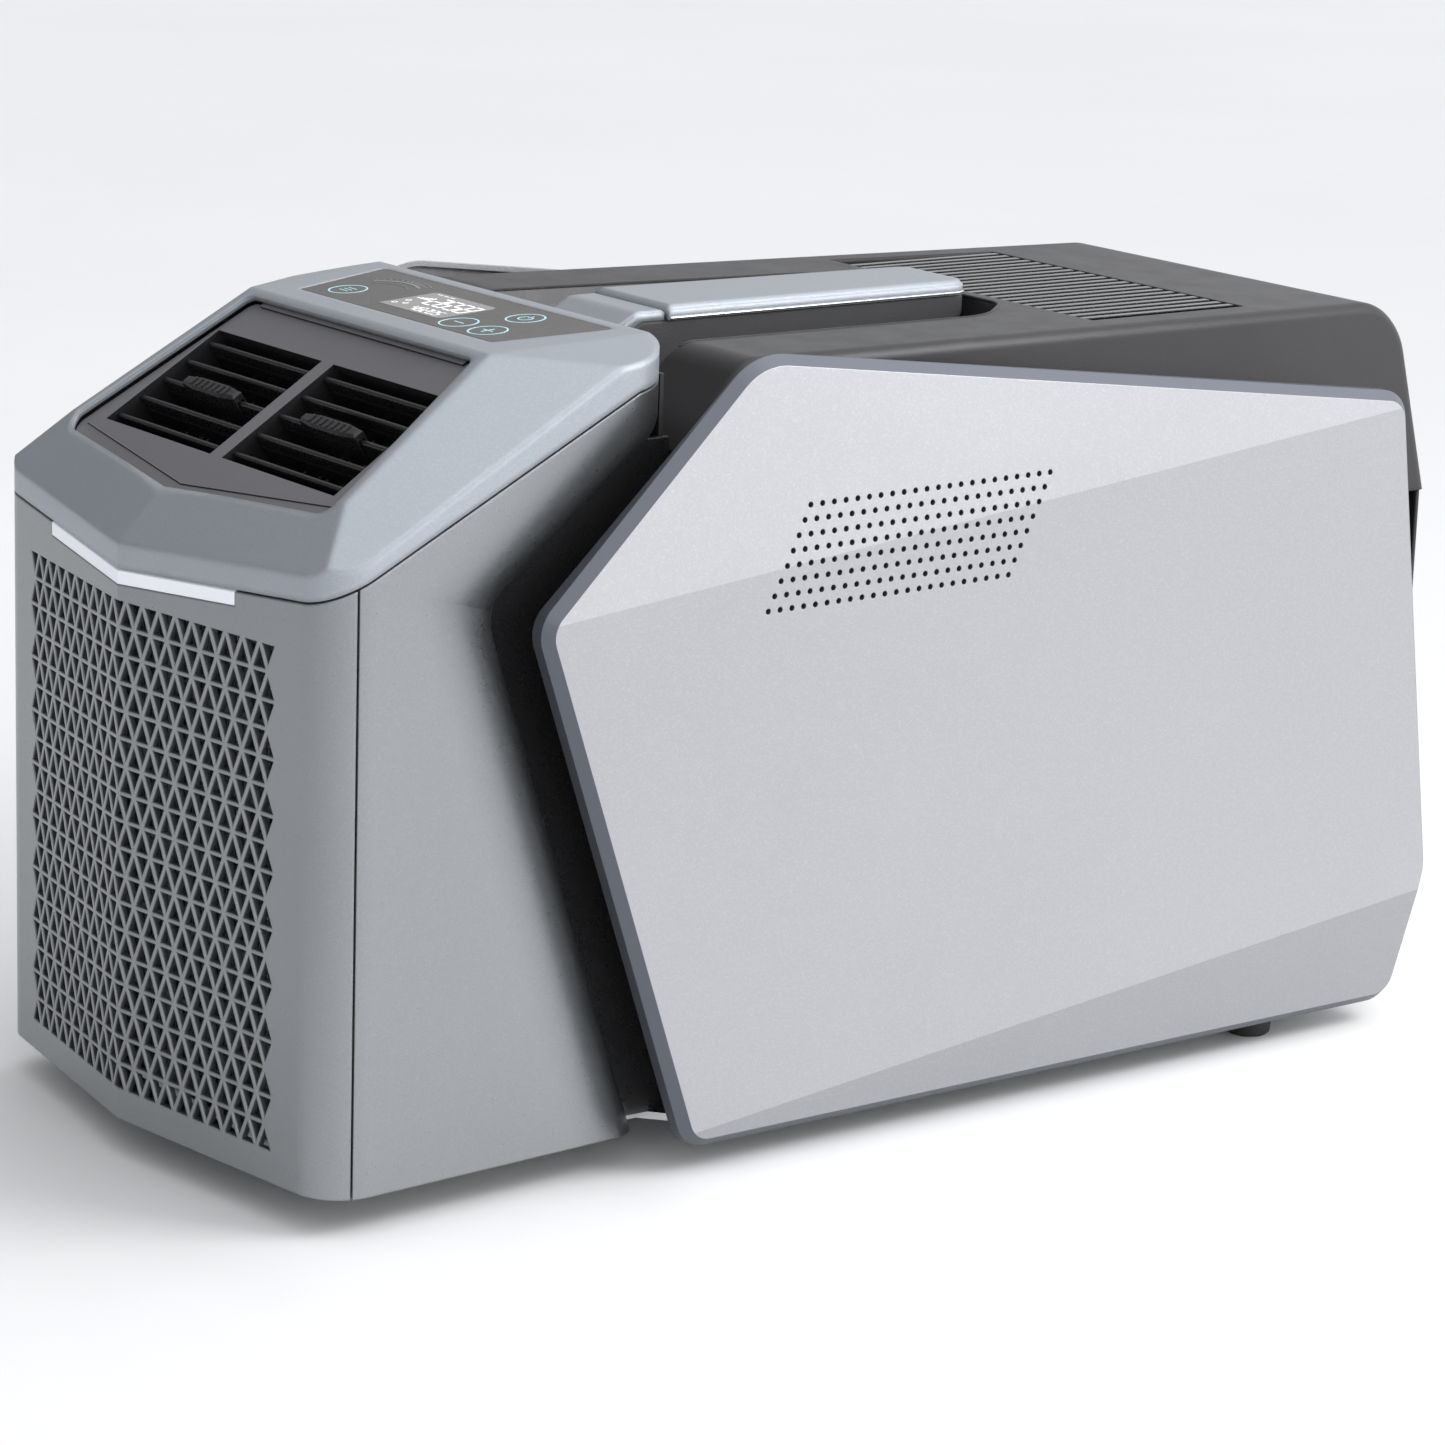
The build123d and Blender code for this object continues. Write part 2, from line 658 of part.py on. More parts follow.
# ---------------------------------------------------------------- upper body casing
DECK_FRONT = 181
DECK_FRONT_Z = 320.5
DECK_REAR_Z = 316
DECK_FRONT_HALF = 116
DECK_REAR_HALF = 97
DECK_BASE_HALF = 120
DECK_REAR_BASE_HALF = 117
DECK_WALL = 3
BASIN_FLOOR_Z = 284
BASIN_FRONT_HALF = 76
BASIN_REAR_HALF = 66
BASIN_REAR = 404
GRILLE_FRONT = 407
GRILLE_REAR = 496
GRILLE_FRONT_HALF = 90
GRILLE_REAR_HALF = 84.5


DECK_SPLAY_RISE = 30       # how far the splayed sides are drawn above the deck before trimming


def deck_section(station, top_half, top_z, base_half, inset):
    """Upright cross-section of the casing: sides that splay out downwards, drawn over-height."""
    reach = (base_half - top_half) / (top_z - DECK_BASE_Z) * DECK_SPLAY_RISE
    with BuildSketch(Plane(origin=(0, st(station), 0), x_dir=(1, 0, 0), z_dir=(0, -1, 0))) as cut:
        with BuildLine():
            Polyline(
                (-base_half + inset, DECK_BASE_Z),
                (base_half - inset, DECK_BASE_Z),
                (top_half - reach - inset, top_z + DECK_SPLAY_RISE),
                (-top_half + reach + inset, top_z + DECK_SPLAY_RISE),
                close=True,
            )
        make_face()
    return cut.sketch


def deck_profile(inset):
    """Side view of the casing: sloping front, nearly flat deck, rounded rear shoulder."""
    front = DECK_FRONT + inset
    rear = BODY_REAR - inset
    with BuildSketch(Plane.YZ) as profile:
        with BuildLine():
            Polyline(
                (st(front), DECK_BASE_Z),
                (st(front), DECK_FRONT_Z - 34),
                (st(front + 30), DECK_FRONT_Z - inset),
                (st(rear - 4), DECK_REAR_Z - inset),
                (st(rear), DECK_BASE_Z),
                close=True,
            )
        make_face()
        fillet(profile.vertices().filter_by(
            lambda v: v.X > 0 and v.Y > DECK_BASE_Z + 10), 24 - inset)
        fillet(profile.vertices().sort_by_distance((st(front + 30), DECK_FRONT_Z, 0))[0], 16)
    return profile.sketch


def deck_form(inset):
    """The casing as a closed body, inset by the wall where it is hollowed."""
    with BuildPart() as form:
        loft([
            deck_section(DECK_FRONT + inset, DECK_FRONT_HALF, DECK_FRONT_Z, DECK_BASE_HALF, inset),
            deck_section(BODY_REAR - inset, DECK_REAR_HALF, DECK_REAR_Z, DECK_REAR_BASE_HALF,
                         inset),
        ])
        extrude(deck_profile(inset), amount=2 * DECK_BASE_HALF, both=True, mode=Mode.INTERSECT)
        long_edges = form.edges().filter_by(lambda e: e.center().Z > 300 and e.length > 250
                                            and abs(e.center().X) > 60)
        fillet(long_edges, 5 - inset / 2)
    return form.part


def basin(grow, top_z, floor_z):
    """Trough round the handle: open to the front, round at the rear, with sloping walls."""
    with BuildPart() as trough:
        with BuildSketch(Plane.XY.offset(top_z)) as plan:
            front_y = st(DECK_FRONT - 20)
            turn_y = st(BASIN_REAR - 29 + grow)
            rear_y = st(BASIN_REAR + grow)
            with BuildLine():
                Polyline(
                    (-BASIN_FRONT_HALF - grow, front_y),
                    (BASIN_FRONT_HALF + grow, front_y),
                    (BASIN_REAR_HALF + grow, turn_y),
                    (BASIN_REAR_HALF - 26, rear_y),
                    (26 - BASIN_REAR_HALF, rear_y),
                    (-BASIN_REAR_HALF - grow, turn_y),
                    close=True,
                )
            make_face()
            fillet(plan.vertices().group_by(Axis.Y)[-1], 20)
            fillet(plan.vertices().group_by(Axis.Y)[1], 40)
        extrude(amount=floor_z - top_z, taper=18)
    return trough.part


def grille_outline(inset):
    """Plan of the top grille's opening, a little narrower at the rear."""
    front_half = GRILLE_FRONT_HALF - inset
    rear_half = GRILLE_REAR_HALF - inset
    with BuildSketch() as outline:
        with BuildLine():
            Polyline(
                (-front_half, st(GRILLE_FRONT + inset)),
                (front_half, st(GRILLE_FRONT + inset)),
                (rear_half, st(GRILLE_REAR - inset)),
                (-rear_half, st(GRILLE_REAR - inset)),
                close=True,
            )
        make_face()
    return outline.sketch


with BuildPart() as basin_wall:
    add(basin(DECK_WALL, 330, BASIN_FLOOR_Z - DECK_WALL))
    add(deck_form(1), mode=Mode.INTERSECT)

with BuildPart() as deck_shell:
    add(deck_form(0))
    add(deck_form(DECK_WALL), mode=Mode.SUBTRACT)
    add(basin_wall.part)
    add(basin(0, 330, BASIN_FLOOR_Z), mode=Mode.SUBTRACT)
    with BuildSketch(Plane.XY.offset(340)):
        add(grille_outline(0))
    extrude(amount=-60, mode=Mode.SUBTRACT)
save(deck_shell, "deck_shell")

# ---------------------------------------------------------------- top grille
SLAT_COUNT = 22
SLAT_WIDTH = 3.4
SLAT_DEPTH = 9
GRILLE_MARGIN = 6


def deck_z(station):
    """Height of the deck surface at a station."""
    share = (station - DECK_FRONT - 30) / (BODY_REAR - 4 - DECK_FRONT - 30)
    return DECK_FRONT_Z + share * (DECK_REAR_Z - DECK_FRONT_Z)


with BuildPart() as top_grille:
    grille_top = (deck_z(GRILLE_FRONT) + deck_z(GRILLE_REAR)) / 2 - 0.4
    with BuildSketch(Plane.XY.offset(grille_top - 2)):
        add(grille_outline(CLEAR))
        offset(amount=-3, mode=Mode.SUBTRACT)
    extrude(amount=-SLAT_DEPTH)
    slat_y = st((GRILLE_FRONT + GRILLE_REAR) / 2)
    slat_length = GRILLE_REAR - GRILLE_FRONT - 4
    slat_pitch = 2 * (GRILLE_REAR_HALF - GRILLE_MARGIN) / (SLAT_COUNT - 1)
    with Locations((0, slat_y, grille_top - SLAT_DEPTH / 2)):
        with GridLocations(slat_pitch, 1, SLAT_COUNT, 1):
            Box(SLAT_WIDTH, slat_length, SLAT_DEPTH)
save(top_grille, "top_grille")

# ---------------------------------------------------------------- carrying handle
HANDLE_FRONT = 237
HANDLE_REAR = 396
HANDLE_FRONT_HALF = 26
HANDLE_REAR_HALF = 22
HANDLE_FRONT_Z = 326.5
HANDLE_REAR_Z = 326
COVER_THICK = 6
GRIP_THICK = 21
RAMP_FOOT = 186
RAMP_FOOT_Z = 304


def handle_slab(front, rear, front_z, rear_z, thick, narrow):
    """Tapering slab along the handle's slope, narrowed on each side."""
    with BuildPart() as slab:
        with BuildSketch(Plane.YZ):
            with BuildLine():
                Polyline((st(front), front_z), (st(rear), rear_z), (st(rear), rear_z - thick),
                         (st(front), front_z - thick), close=True)
            make_face()
        extrude(amount=60, both=True)
        with BuildSketch(Plane.XY):
            with BuildLine():
                Polyline(
                    (-HANDLE_FRONT_HALF + narrow, st(front)),
                    (HANDLE_FRONT_HALF - narrow, st(front)),
                    (HANDLE_REAR_HALF - narrow, st(rear)),
                    (-HANDLE_REAR_HALF + narrow, st(rear)),
                    close=True,
                )
            make_face()
        extrude(amount=400, mode=Mode.INTERSECT)
    return slab.part


with BuildPart() as handle_cover:
    add(handle_slab(HANDLE_FRONT, HANDLE_REAR, HANDLE_FRONT_Z, HANDLE_REAR_Z, COVER_THICK, 0))
    fillet(handle_cover.edges().filter_by(Axis.Z).group_by(Axis.Y)[-1], 7)
    chamfer(handle_cover.faces().sort_by(Axis.Z)[-1].edges(), 2)
save(handle_cover, "handle_cover")

with BuildPart() as handle_ramp:
    with BuildSketch(Plane.YZ):
        with BuildLine():
            Polyline(
                (st(RAMP_FOOT), RAMP_FOOT_Z),
                (st(HANDLE_FRONT - 14), HANDLE_FRONT_Z - 2),
                (st(HANDLE_FRONT - 1), HANDLE_FRONT_Z - 2),
                (st(HANDLE_FRONT - 1), HANDLE_FRONT_Z - COVER_THICK),
                (st(HANDLE_FRONT - 12), HANDLE_FRONT_Z - COVER_THICK),
                (st(RAMP_FOOT), RAMP_FOOT_Z - COVER_THICK),
                close=True,
            )
        make_face()
    extrude(amount=HANDLE_FRONT_HALF - 1.5, both=True)
    chamfer(handle_ramp.faces().sort_by(Axis.Z)[-1].edges(), 1)
save(handle_ramp, "handle_ramp")

with BuildPart() as handle_grip:
    with BuildSketch(Plane.YZ):
        with BuildLine():
            Polyline(
                (st(RAMP_FOOT), RAMP_FOOT_Z - COVER_THICK - 0.1),
                (st(HANDLE_FRONT - 12), HANDLE_FRONT_Z - COVER_THICK - 0.1),
                (st(HANDLE_FRONT), HANDLE_FRONT_Z - COVER_THICK - 0.1),
                (st(HANDLE_REAR - 2), HANDLE_REAR_Z - COVER_THICK - 0.1),
                (st(HANDLE_REAR - 2), HANDLE_REAR_Z - COVER_THICK - 8),
                (st(HANDLE_REAR - 20), BASIN_FLOOR_Z + 0.1),
                (st(HANDLE_REAR - 44), BASIN_FLOOR_Z + 0.1),
                (st(HANDLE_REAR - 34), HANDLE_REAR_Z - GRIP_THICK),
                (st(HANDLE_FRONT + 14), HANDLE_FRONT_Z - GRIP_THICK - 2),
                (st(HANDLE_FRONT - 22), BASIN_FLOOR_Z + 0.1),
                (st(RAMP_FOOT), BASIN_FLOOR_Z + 0.1),
                close=True,
            )
        make_face()
    extrude(amount=60, both=True)
    with BuildSketch(Plane.XY):
        with BuildLine():
            Polyline(
                (-HANDLE_FRONT_HALF + 2, st(RAMP_FOOT)), (HANDLE_FRONT_HALF - 2, st(RAMP_FOOT)),
                (HANDLE_FRONT_HALF - 2, st(HANDLE_FRONT)), (HANDLE_REAR_HALF - 2, st(HANDLE_REAR)),
                (-HANDLE_REAR_HALF + 2, st(HANDLE_REAR)), (-HANDLE_FRONT_HALF + 2, st(HANDLE_FRONT)),
                close=True,
            )
        make_face()
    extrude(amount=400, mode=Mode.INTERSECT)
    hand_side = handle_grip.edges().filter_by(Axis.X).filter_by(
        lambda e: BASIN_FLOOR_Z + 5 < e.center().Z < HANDLE_FRONT_Z - 15
        and st(HANDLE_FRONT) < e.center().Y < st(HANDLE_REAR - 30))
    fillet(hand_side, 12)
save(handle_grip, "handle_grip")

# ---------------------------------------------------------------- rear cover, power inlet, drain
REAR_WALL = 3
SOCKET_X = 62
SOCKET_Z = 66
DRAIN_X = -62
DRAIN_Z = 40
DRAIN_RADIUS = 6
LOUVRE_ROWS = 12

with BuildPart() as rear_cover:
    with Locations((0, st(BODY_REAR), BASE_Z + PAN_FLOOR + 0.2)):
        Box(2 * (FRAME_HALF + 6), REAR_WALL, DECK_BASE_Z - BASE_Z - PAN_FLOOR - 1,
            align=(Align.CENTER, Align.MAX, Align.MIN))
    fillet(rear_cover.edges().filter_by(Axis.Z).group_by(Axis.Y)[-1], 2.5)
    with BuildSketch(Plane.XZ.offset(-st(BODY_REAR))):
        with Locations(*[(0, 110 + 9 * row) for row in range(LOUVRE_ROWS)]):
            SlotOverall(170, 4.5)
        with Locations((SOCKET_X, SOCKET_Z)):
            Circle(9.2)
        with Locations((DRAIN_X, DRAIN_Z)):
            Circle(9.2)
    extrude(amount=-20, both=True, mode=Mode.SUBTRACT)
save(rear_cover, "rear_cover")


def rear_ring(x, z, inner, flange, depth):
    """Bushing through the rear cover: a barrel with a flange outside and a bore right through."""
    with BuildPart() as ring:
        with BuildSketch(Plane.XZ.offset(-st(BODY_REAR))):
            with Locations((x, z)):
                Circle(flange)
        extrude(amount=-1.5)
        with BuildSketch(Plane.XZ.offset(-st(BODY_REAR))):
            with Locations((x, z)):
                Circle(9)
        extrude(amount=depth)
        with BuildSketch(Plane.XZ.offset(-st(BODY_REAR + 5))):
            with Locations((x, z)):
                Circle(inner)
        extrude(amount=depth + 10, mode=Mode.SUBTRACT)
    return ring


HINGE_Z = SOCKET_Z + 15
HINGE_STATION = BODY_REAR + 3.4
HINGE_PIN = 1.1

drain_spout = rear_ring(DRAIN_X, DRAIN_Z, DRAIN_RADIUS, 12, 26)
save(drain_spout, "drain_spout")

socket_ring = rear_ring(SOCKET_X, SOCKET_Z, 6, 12, 22)
with BuildPart() as inlet_socket:
    add(socket_ring.part)
    with Locations((SOCKET_X, st(BODY_REAR - 19), SOCKET_Z)):
        Cylinder(6.5, 3, rotation=(90, 0, 0))
    with Locations((SOCKET_X, st(BODY_REAR - 11), SOCKET_Z)):
        Cylinder(1.5, 14, rotation=(90, 0, 0))
    with Locations(*[(SOCKET_X + dx, st(BODY_REAR), HINGE_Z) for dx in (-6.5, 6.5)]):
        Box(2, 5, 5, align=(Align.CENTER, Align.MIN, Align.CENTER))
    with Locations((SOCKET_X, st(BODY_REAR), HINGE_Z)):
        Box(15, 1.5, 8, align=(Align.CENTER, Align.MIN, Align.CENTER))
    with Locations((SOCKET_X, st(HINGE_STATION), HINGE_Z)):
        Cylinder(HINGE_PIN + PIN_CLEAR, 30, rotation=(0, 90, 0), mode=Mode.SUBTRACT)
save(inlet_socket, "inlet_socket")

with BuildPart() as inlet_cap:
    with Locations((SOCKET_X, st(BODY_REAR + 1.9), SOCKET_Z)):
        Cylinder(11.5, 2.6, rotation=(90, 0, 0), align=(Align.CENTER, Align.CENTER, Align.MAX))
    with Locations((SOCKET_X, st(HINGE_STATION), SOCKET_Z + 12)):
        Box(9, 2.4, 8, align=(Align.CENTER, Align.CENTER, Align.CENTER))
    with Locations((SOCKET_X, st(HINGE_STATION), HINGE_Z)):
        Cylinder(HINGE_PIN, 14.6, rotation=(0, 90, 0))
save(inlet_cap, "inlet_cap")

with BuildPart() as drain_plug:
    with Locations((DRAIN_X, st(BODY_REAR + 1.8), DRAIN_Z)):
        Cylinder(DRAIN_RADIUS - 0.05, 16, rotation=(90, 0, 0),
                 align=(Align.CENTER, Align.CENTER, Align.MIN))
        Cylinder(10, 3, rotation=(90, 0, 0), align=(Align.CENTER, Align.CENTER, Align.MAX))
    chamfer(drain_plug.faces().sort_by(Axis.Y)[-1].edges(), 0.8)
save(drain_plug, "drain_plug")

# ---------------------------------------------------------------- cold side, inside the head
with BuildPart() as air_filter:
    with Locations((0, st(25), 126)):
        Box(184, 4, 196)
    with BuildSketch(Plane.XZ.offset(-st(30))):
        with Locations((0, 126)):
            with GridLocations(29.5, 31.5, 6, 6):
                Rectangle(26.5, 28.5)
    extrude(amount=8, mode=Mode.SUBTRACT)
save(air_filter, "air_filter")


def finned_coil(front, depth, half, low, high, fins):
    """Heat exchanger: two end plates, thin fins across and tube runs through them."""
    middle = (front + depth / 2, (low + high) / 2)
    with BuildPart() as coil:
        with Locations((0, st(middle[0]), middle[1])):
            with GridLocations(2 * half / (fins - 1), 1, fins, 1):
                Box(0.8, depth, high - low)
            for x in (-half, half):
                with Locations((x, 0, 0)):
                    Box(2, depth + 2, high - low + 4)
        with Locations((0, st(middle[0]), low + 12)):
            for step in range(int((high - low) // 24)):
                with Locations((0, 0, 24 * step)):
                    Cylinder(4, 2 * half + 8, rotation=(0, 90, 0))
    return coil


COIL_LOW_Z = 34
COIL_TOP_Z = 222

save(finned_coil(34, 32, 92, COIL_LOW_Z, COIL_TOP_Z, 32), "evaporator")

BLOWER_Z = 118
BLOWER_FRONT = 90
BLOWER_DEPTH = 58
OUTLET_Z = 212


def scroll_outline(inset, offset_station):
    """Outline of the blower scroll: a round housing whose right side runs up to the outlet."""
    with BuildSketch(Plane.XZ.offset(-st(offset_station))) as outline:
        with Locations((0, BLOWER_Z)):
            Circle(74 - inset)
        with Locations((19, (BLOWER_Z + OUTLET_Z) / 2)):
            Rectangle(110 - 2 * inset, OUTLET_Z - BLOWER_Z)
    return outline.sketch


with BuildPart() as blower_housing:
    extrude(scroll_outline(0, BLOWER_FRONT), amount=-BLOWER_DEPTH)
    extrude(scroll_outline(2, BLOWER_FRONT + 2), amount=-BLOWER_DEPTH + 4, mode=Mode.SUBTRACT)
    with Locations((19, st(BLOWER_FRONT + BLOWER_DEPTH / 2), OUTLET_Z)):
        Box(106, BLOWER_DEPTH - 4, 10, mode=Mode.SUBTRACT)
    with Locations((0, st(BLOWER_FRONT), BLOWER_Z)):
        Cylinder(44, 12, rotation=(90, 0, 0), mode=Mode.SUBTRACT)
    with Locations((0, st(BLOWER_FRONT + BLOWER_DEPTH), BLOWER_Z)):
        Cylinder(8, 12, rotation=(90, 0, 0), mode=Mode.SUBTRACT)
save(blower_housing, "blower_housing")

SHAFT_RADIUS = 4
BLADE_COUNT = 28

with BuildPart() as blower_rotor:
    with Locations((0, st(BLOWER_FRONT + 50), BLOWER_Z)):
        Cylinder(56, 2, rotation=(90, 0, 0))
        Cylinder(12, 10, rotation=(90, 0, 0))
    with Locations((0, st(BLOWER_FRONT + 6), BLOWER_Z)):
        Cylinder(57, 3, rotation=(90, 0, 0))
        Cylinder(48, 5, rotation=(90, 0, 0), mode=Mode.SUBTRACT)
    with BuildSketch(Plane.XZ.offset(-st(BLOWER_FRONT + 6))):
        with Locations((0, BLOWER_Z)):
            with PolarLocations(52, BLADE_COUNT):
                Rectangle(8, 1.6, rotation=35)
    extrude(amount=-44)
    with Locations((0, st(BLOWER_FRONT + 50), BLOWER_Z)):
        Cylinder(SHAFT_RADIUS, 34, rotation=(90, 0, 0),
                 align=(Align.CENTER, Align.CENTER, Align.MAX))
save(blower_rotor, "blower_rotor")


def motor(station, depth, radius, x, z):
    """Short motor with its axis along Y, a bore for the shaft and a mounting flange behind."""
    with BuildPart() as body:
        with Locations((x, st(station), z)):
            Cylinder(radius, depth, rotation=(90, 0, 0),
                     align=(Align.CENTER, Align.CENTER, Align.MAX))
            Cylinder(SHAFT_RADIUS + PIN_CLEAR, 2 * depth + 10, rotation=(90, 0, 0),
                     mode=Mode.SUBTRACT)
        chamfer(body.edges().filter_by(lambda e: e.radius > radius - 1
                                       if e.geom_type == GeomType.CIRCLE else False), 2)
    return body


save(motor(BLOWER_FRONT + BLOWER_DEPTH + 2, 25, 32, 0, BLOWER_Z), "blower_motor")

with BuildPart() as vent_duct:
    with BuildSketch(Plane.XY.offset(OUTLET_Z + 0.5)):
        with Locations((19, st(BLOWER_FRONT + BLOWER_DEPTH / 2))):
            Rectangle(110, BLOWER_DEPTH)
    with BuildSketch(vent_plane(FRAME_DEPTH + 2)):
        with Locations((0, -46)):
            Rectangle(178, 64)
    loft()
    with BuildSketch(Plane.XY.offset(OUTLET_Z + 0.5)):
        with Locations((19, st(BLOWER_FRONT + BLOWER_DEPTH / 2))):
            Rectangle(106, BLOWER_DEPTH - 4)
    with BuildSketch(vent_plane(FRAME_DEPTH + 2)):
        with Locations((0, -46)):
            Rectangle(174, 60)
    loft(mode=Mode.SUBTRACT)
save(vent_duct, "vent_duct")

BULKHEAD_TOP_Z = 316       # just under the cap's rear edge, so the head is closed behind
PIPE_X = -70               # where the suction pipe passes the bulkhead
PIPE_Z = 60

with BuildPart() as bulkhead:
    with Locations((0, st(178.5), 30)):
        Box(2 * (FRAME_HALF - FRAME_WALL - CLEAR), 1.8, BULKHEAD_TOP_Z - 30,
            align=(Align.CENTER, Align.CENTER, Align.MIN))
    with Locations((PIPE_X, st(178.5), PIPE_Z)):
        Cylinder(6, 6, rotation=(90, 0, 0), mode=Mode.SUBTRACT)
save(bulkhead, "bulkhead")

# ---------------------------------------------------------------- hot side, inside the body
COMPRESSOR_X = -38
COMPRESSOR_STATION = 252

with BuildPart() as compressor:
    with Locations((COMPRESSOR_X, st(COMPRESSOR_STATION), 30)):
        Cylinder(46, 150, align=(Align.CENTER, Align.CENTER, Align.MIN))
    fillet(compressor.edges().filter_by(GeomType.CIRCLE), 16)
    with Locations((COMPRESSOR_X, st(COMPRESSOR_STATION), 27)):
        Box(112, 60, 4, align=(Align.CENTER, Align.CENTER, Align.MIN))
    with Locations((COMPRESSOR_X + 66, st(COMPRESSOR_STATION - 18), 40)):
        Cylinder(15, 110, align=(Align.CENTER, Align.CENTER, Align.MIN))
    with Locations((COMPRESSOR_X + 50, st(COMPRESSOR_STATION - 14), 60),
                   (COMPRESSOR_X + 50, st(COMPRESSOR_STATION - 14), 120)):
        Box(14, 8, 10)
save(compressor, "compressor")

with BuildPart() as compressor_mounts:
    with Locations(*[(COMPRESSOR_X + dx, st(COMPRESSOR_STATION + dy), BASE_Z + PAN_FLOOR)
                     for dx in (-48, 48) for dy in (-22, 22)]):
        Cylinder(7, 8, align=(Align.CENTER, Align.CENTER, Align.MIN))
save(compressor_mounts, "compressor_mounts")

save(finned_coil(508, 34, 94, COIL_LOW_Z, COIL_TOP_Z, 32), "condenser")

FAN_Z = 128
FAN_STATION = 470

with BuildPart() as fan_shroud:
    with Locations((0, st(500), FAN_Z)):
        Box(200, 4, 196)
        Cylinder(86, 10, rotation=(90, 0, 0), mode=Mode.SUBTRACT)
    with Locations((0, st(498), FAN_Z)):
        Cylinder(89, 36, rotation=(90, 0, 0), align=(Align.CENTER, Align.CENTER, Align.MIN))
        Cylinder(86, 90, rotation=(90, 0, 0), mode=Mode.SUBTRACT)
save(fan_shroud, "fan_shroud")

with BuildPart() as condenser_fan:
    with Locations((0, st(FAN_STATION), FAN_Z)):
        Cylinder(24, 22, rotation=(90, 0, 0), align=(Align.CENTER, Align.CENTER, Align.MAX))
        Cylinder(SHAFT_RADIUS, 26, rotation=(90, 0, 0),
                 align=(Align.CENTER, Align.CENTER, Align.MIN))
    with Locations(Plane(origin=(0, st(FAN_STATION + 11), FAN_Z), z_dir=(0, 1, 0))):
        with PolarLocations(52, 7):
            Box(60, 34, 2, rotation=(28, 0, 0))
save(condenser_fan, "condenser_fan")

with BuildPart() as fan_motor:
    add(motor(FAN_STATION - 30, 26, 28, 0, FAN_Z).part)
    with Locations((0, st(FAN_STATION - 28), FAN_Z)):
        Box(2 * (FRAME_HALF - FRAME_WALL - CLEAR), 3, 18)
        Cylinder(SHAFT_RADIUS + PIN_CLEAR, 20, rotation=(90, 0, 0), mode=Mode.SUBTRACT)
save(fan_motor, "fan_motor")

with BuildPart() as power_module:
    with Locations((76, st(275), BASE_Z + PAN_FLOOR + 8)):
        Box(52, 110, 70, align=(Align.CENTER, Align.CENTER, Align.MIN))
        with Locations((0, 0, 70)):
            with GridLocations(6.5, 1, 8, 1):
                Box(2, 104, 12, align=(Align.CENTER, Align.CENTER, Align.MIN))
save(power_module, "power_module")


def tube(points, radius):
    """Copper tube along straight runs joined by arcs."""
    with BuildPart() as pipe:
        with BuildLine() as path:
            FilletPolyline(*points, radius=14)
        with BuildSketch(Plane(origin=path.line @ 0, z_dir=path.line % 0)):
            Circle(radius)
        sweep()
    return pipe


HOT_PIPE_X = -88
HOT_PIPE_Z = COIL_TOP_Z + 22

with BuildPart() as refrigerant_pipes:
    add(tube([
        (COMPRESSOR_X, st(COMPRESSOR_STATION), 180.2),
        (COMPRESSOR_X, st(COMPRESSOR_STATION), HOT_PIPE_Z),
        (HOT_PIPE_X, st(COMPRESSOR_STATION), HOT_PIPE_Z),
        (HOT_PIPE_X, st(525), HOT_PIPE_Z),
        (HOT_PIPE_X, st(525), COIL_TOP_Z + 2.2),
    ], 4).part)
    add(tube([
        (-97, st(72), 50), (-97, st(110), 50), (PIPE_X, st(140), PIPE_Z), (PIPE_X, st(214), PIPE_Z),
    ], 3).part)
save(refrigerant_pipes, "refrigerant_pipes")

# ---------------------------------------------------------------- fasteners
with BuildPart() as panel_screws:
    for side in (1, -1):
        with Locations(*[(side * (FRAME_HALF - FRAME_WALL), st(x), z) for x, z in BOSS_PLACES]):
            Cylinder(4, 2.5, rotation=(0, side * -90, 0),
                     align=(Align.CENTER, Align.CENTER, Align.MIN))
save(panel_screws, "panel_screws")
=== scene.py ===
import json
from math import atan2, cos, pi, radians, sin

import bmesh
import bpy
from mathutils import Matrix, Vector


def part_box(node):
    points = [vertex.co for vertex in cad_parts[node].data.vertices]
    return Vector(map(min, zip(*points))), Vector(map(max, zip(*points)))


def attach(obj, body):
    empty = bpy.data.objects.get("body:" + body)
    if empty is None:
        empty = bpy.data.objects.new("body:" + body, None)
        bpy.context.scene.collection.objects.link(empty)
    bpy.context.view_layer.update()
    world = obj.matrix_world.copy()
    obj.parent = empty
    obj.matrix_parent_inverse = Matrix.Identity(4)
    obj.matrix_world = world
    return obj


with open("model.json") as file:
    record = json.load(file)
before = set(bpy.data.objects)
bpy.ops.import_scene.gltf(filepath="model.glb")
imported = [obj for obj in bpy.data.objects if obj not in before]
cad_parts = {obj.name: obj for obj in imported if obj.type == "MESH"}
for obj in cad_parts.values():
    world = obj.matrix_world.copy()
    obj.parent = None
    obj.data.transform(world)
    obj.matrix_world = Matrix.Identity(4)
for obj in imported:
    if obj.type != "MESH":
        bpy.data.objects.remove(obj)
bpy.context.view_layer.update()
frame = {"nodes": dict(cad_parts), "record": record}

MM = 0.001
scene = bpy.context.scene


# ---------------------------------------------------------------- camera
CAMERA_AZIMUTH = radians(53.47)
CAMERA_ELEVATION = radians(14.22)
CAMERA_ROLL = 0.03255
CAMERA_DISTANCE = 1.963
CAMERA_AIM = Vector((0.0035, -0.0051, 0.142))
CAMERA_LENS = 115.8


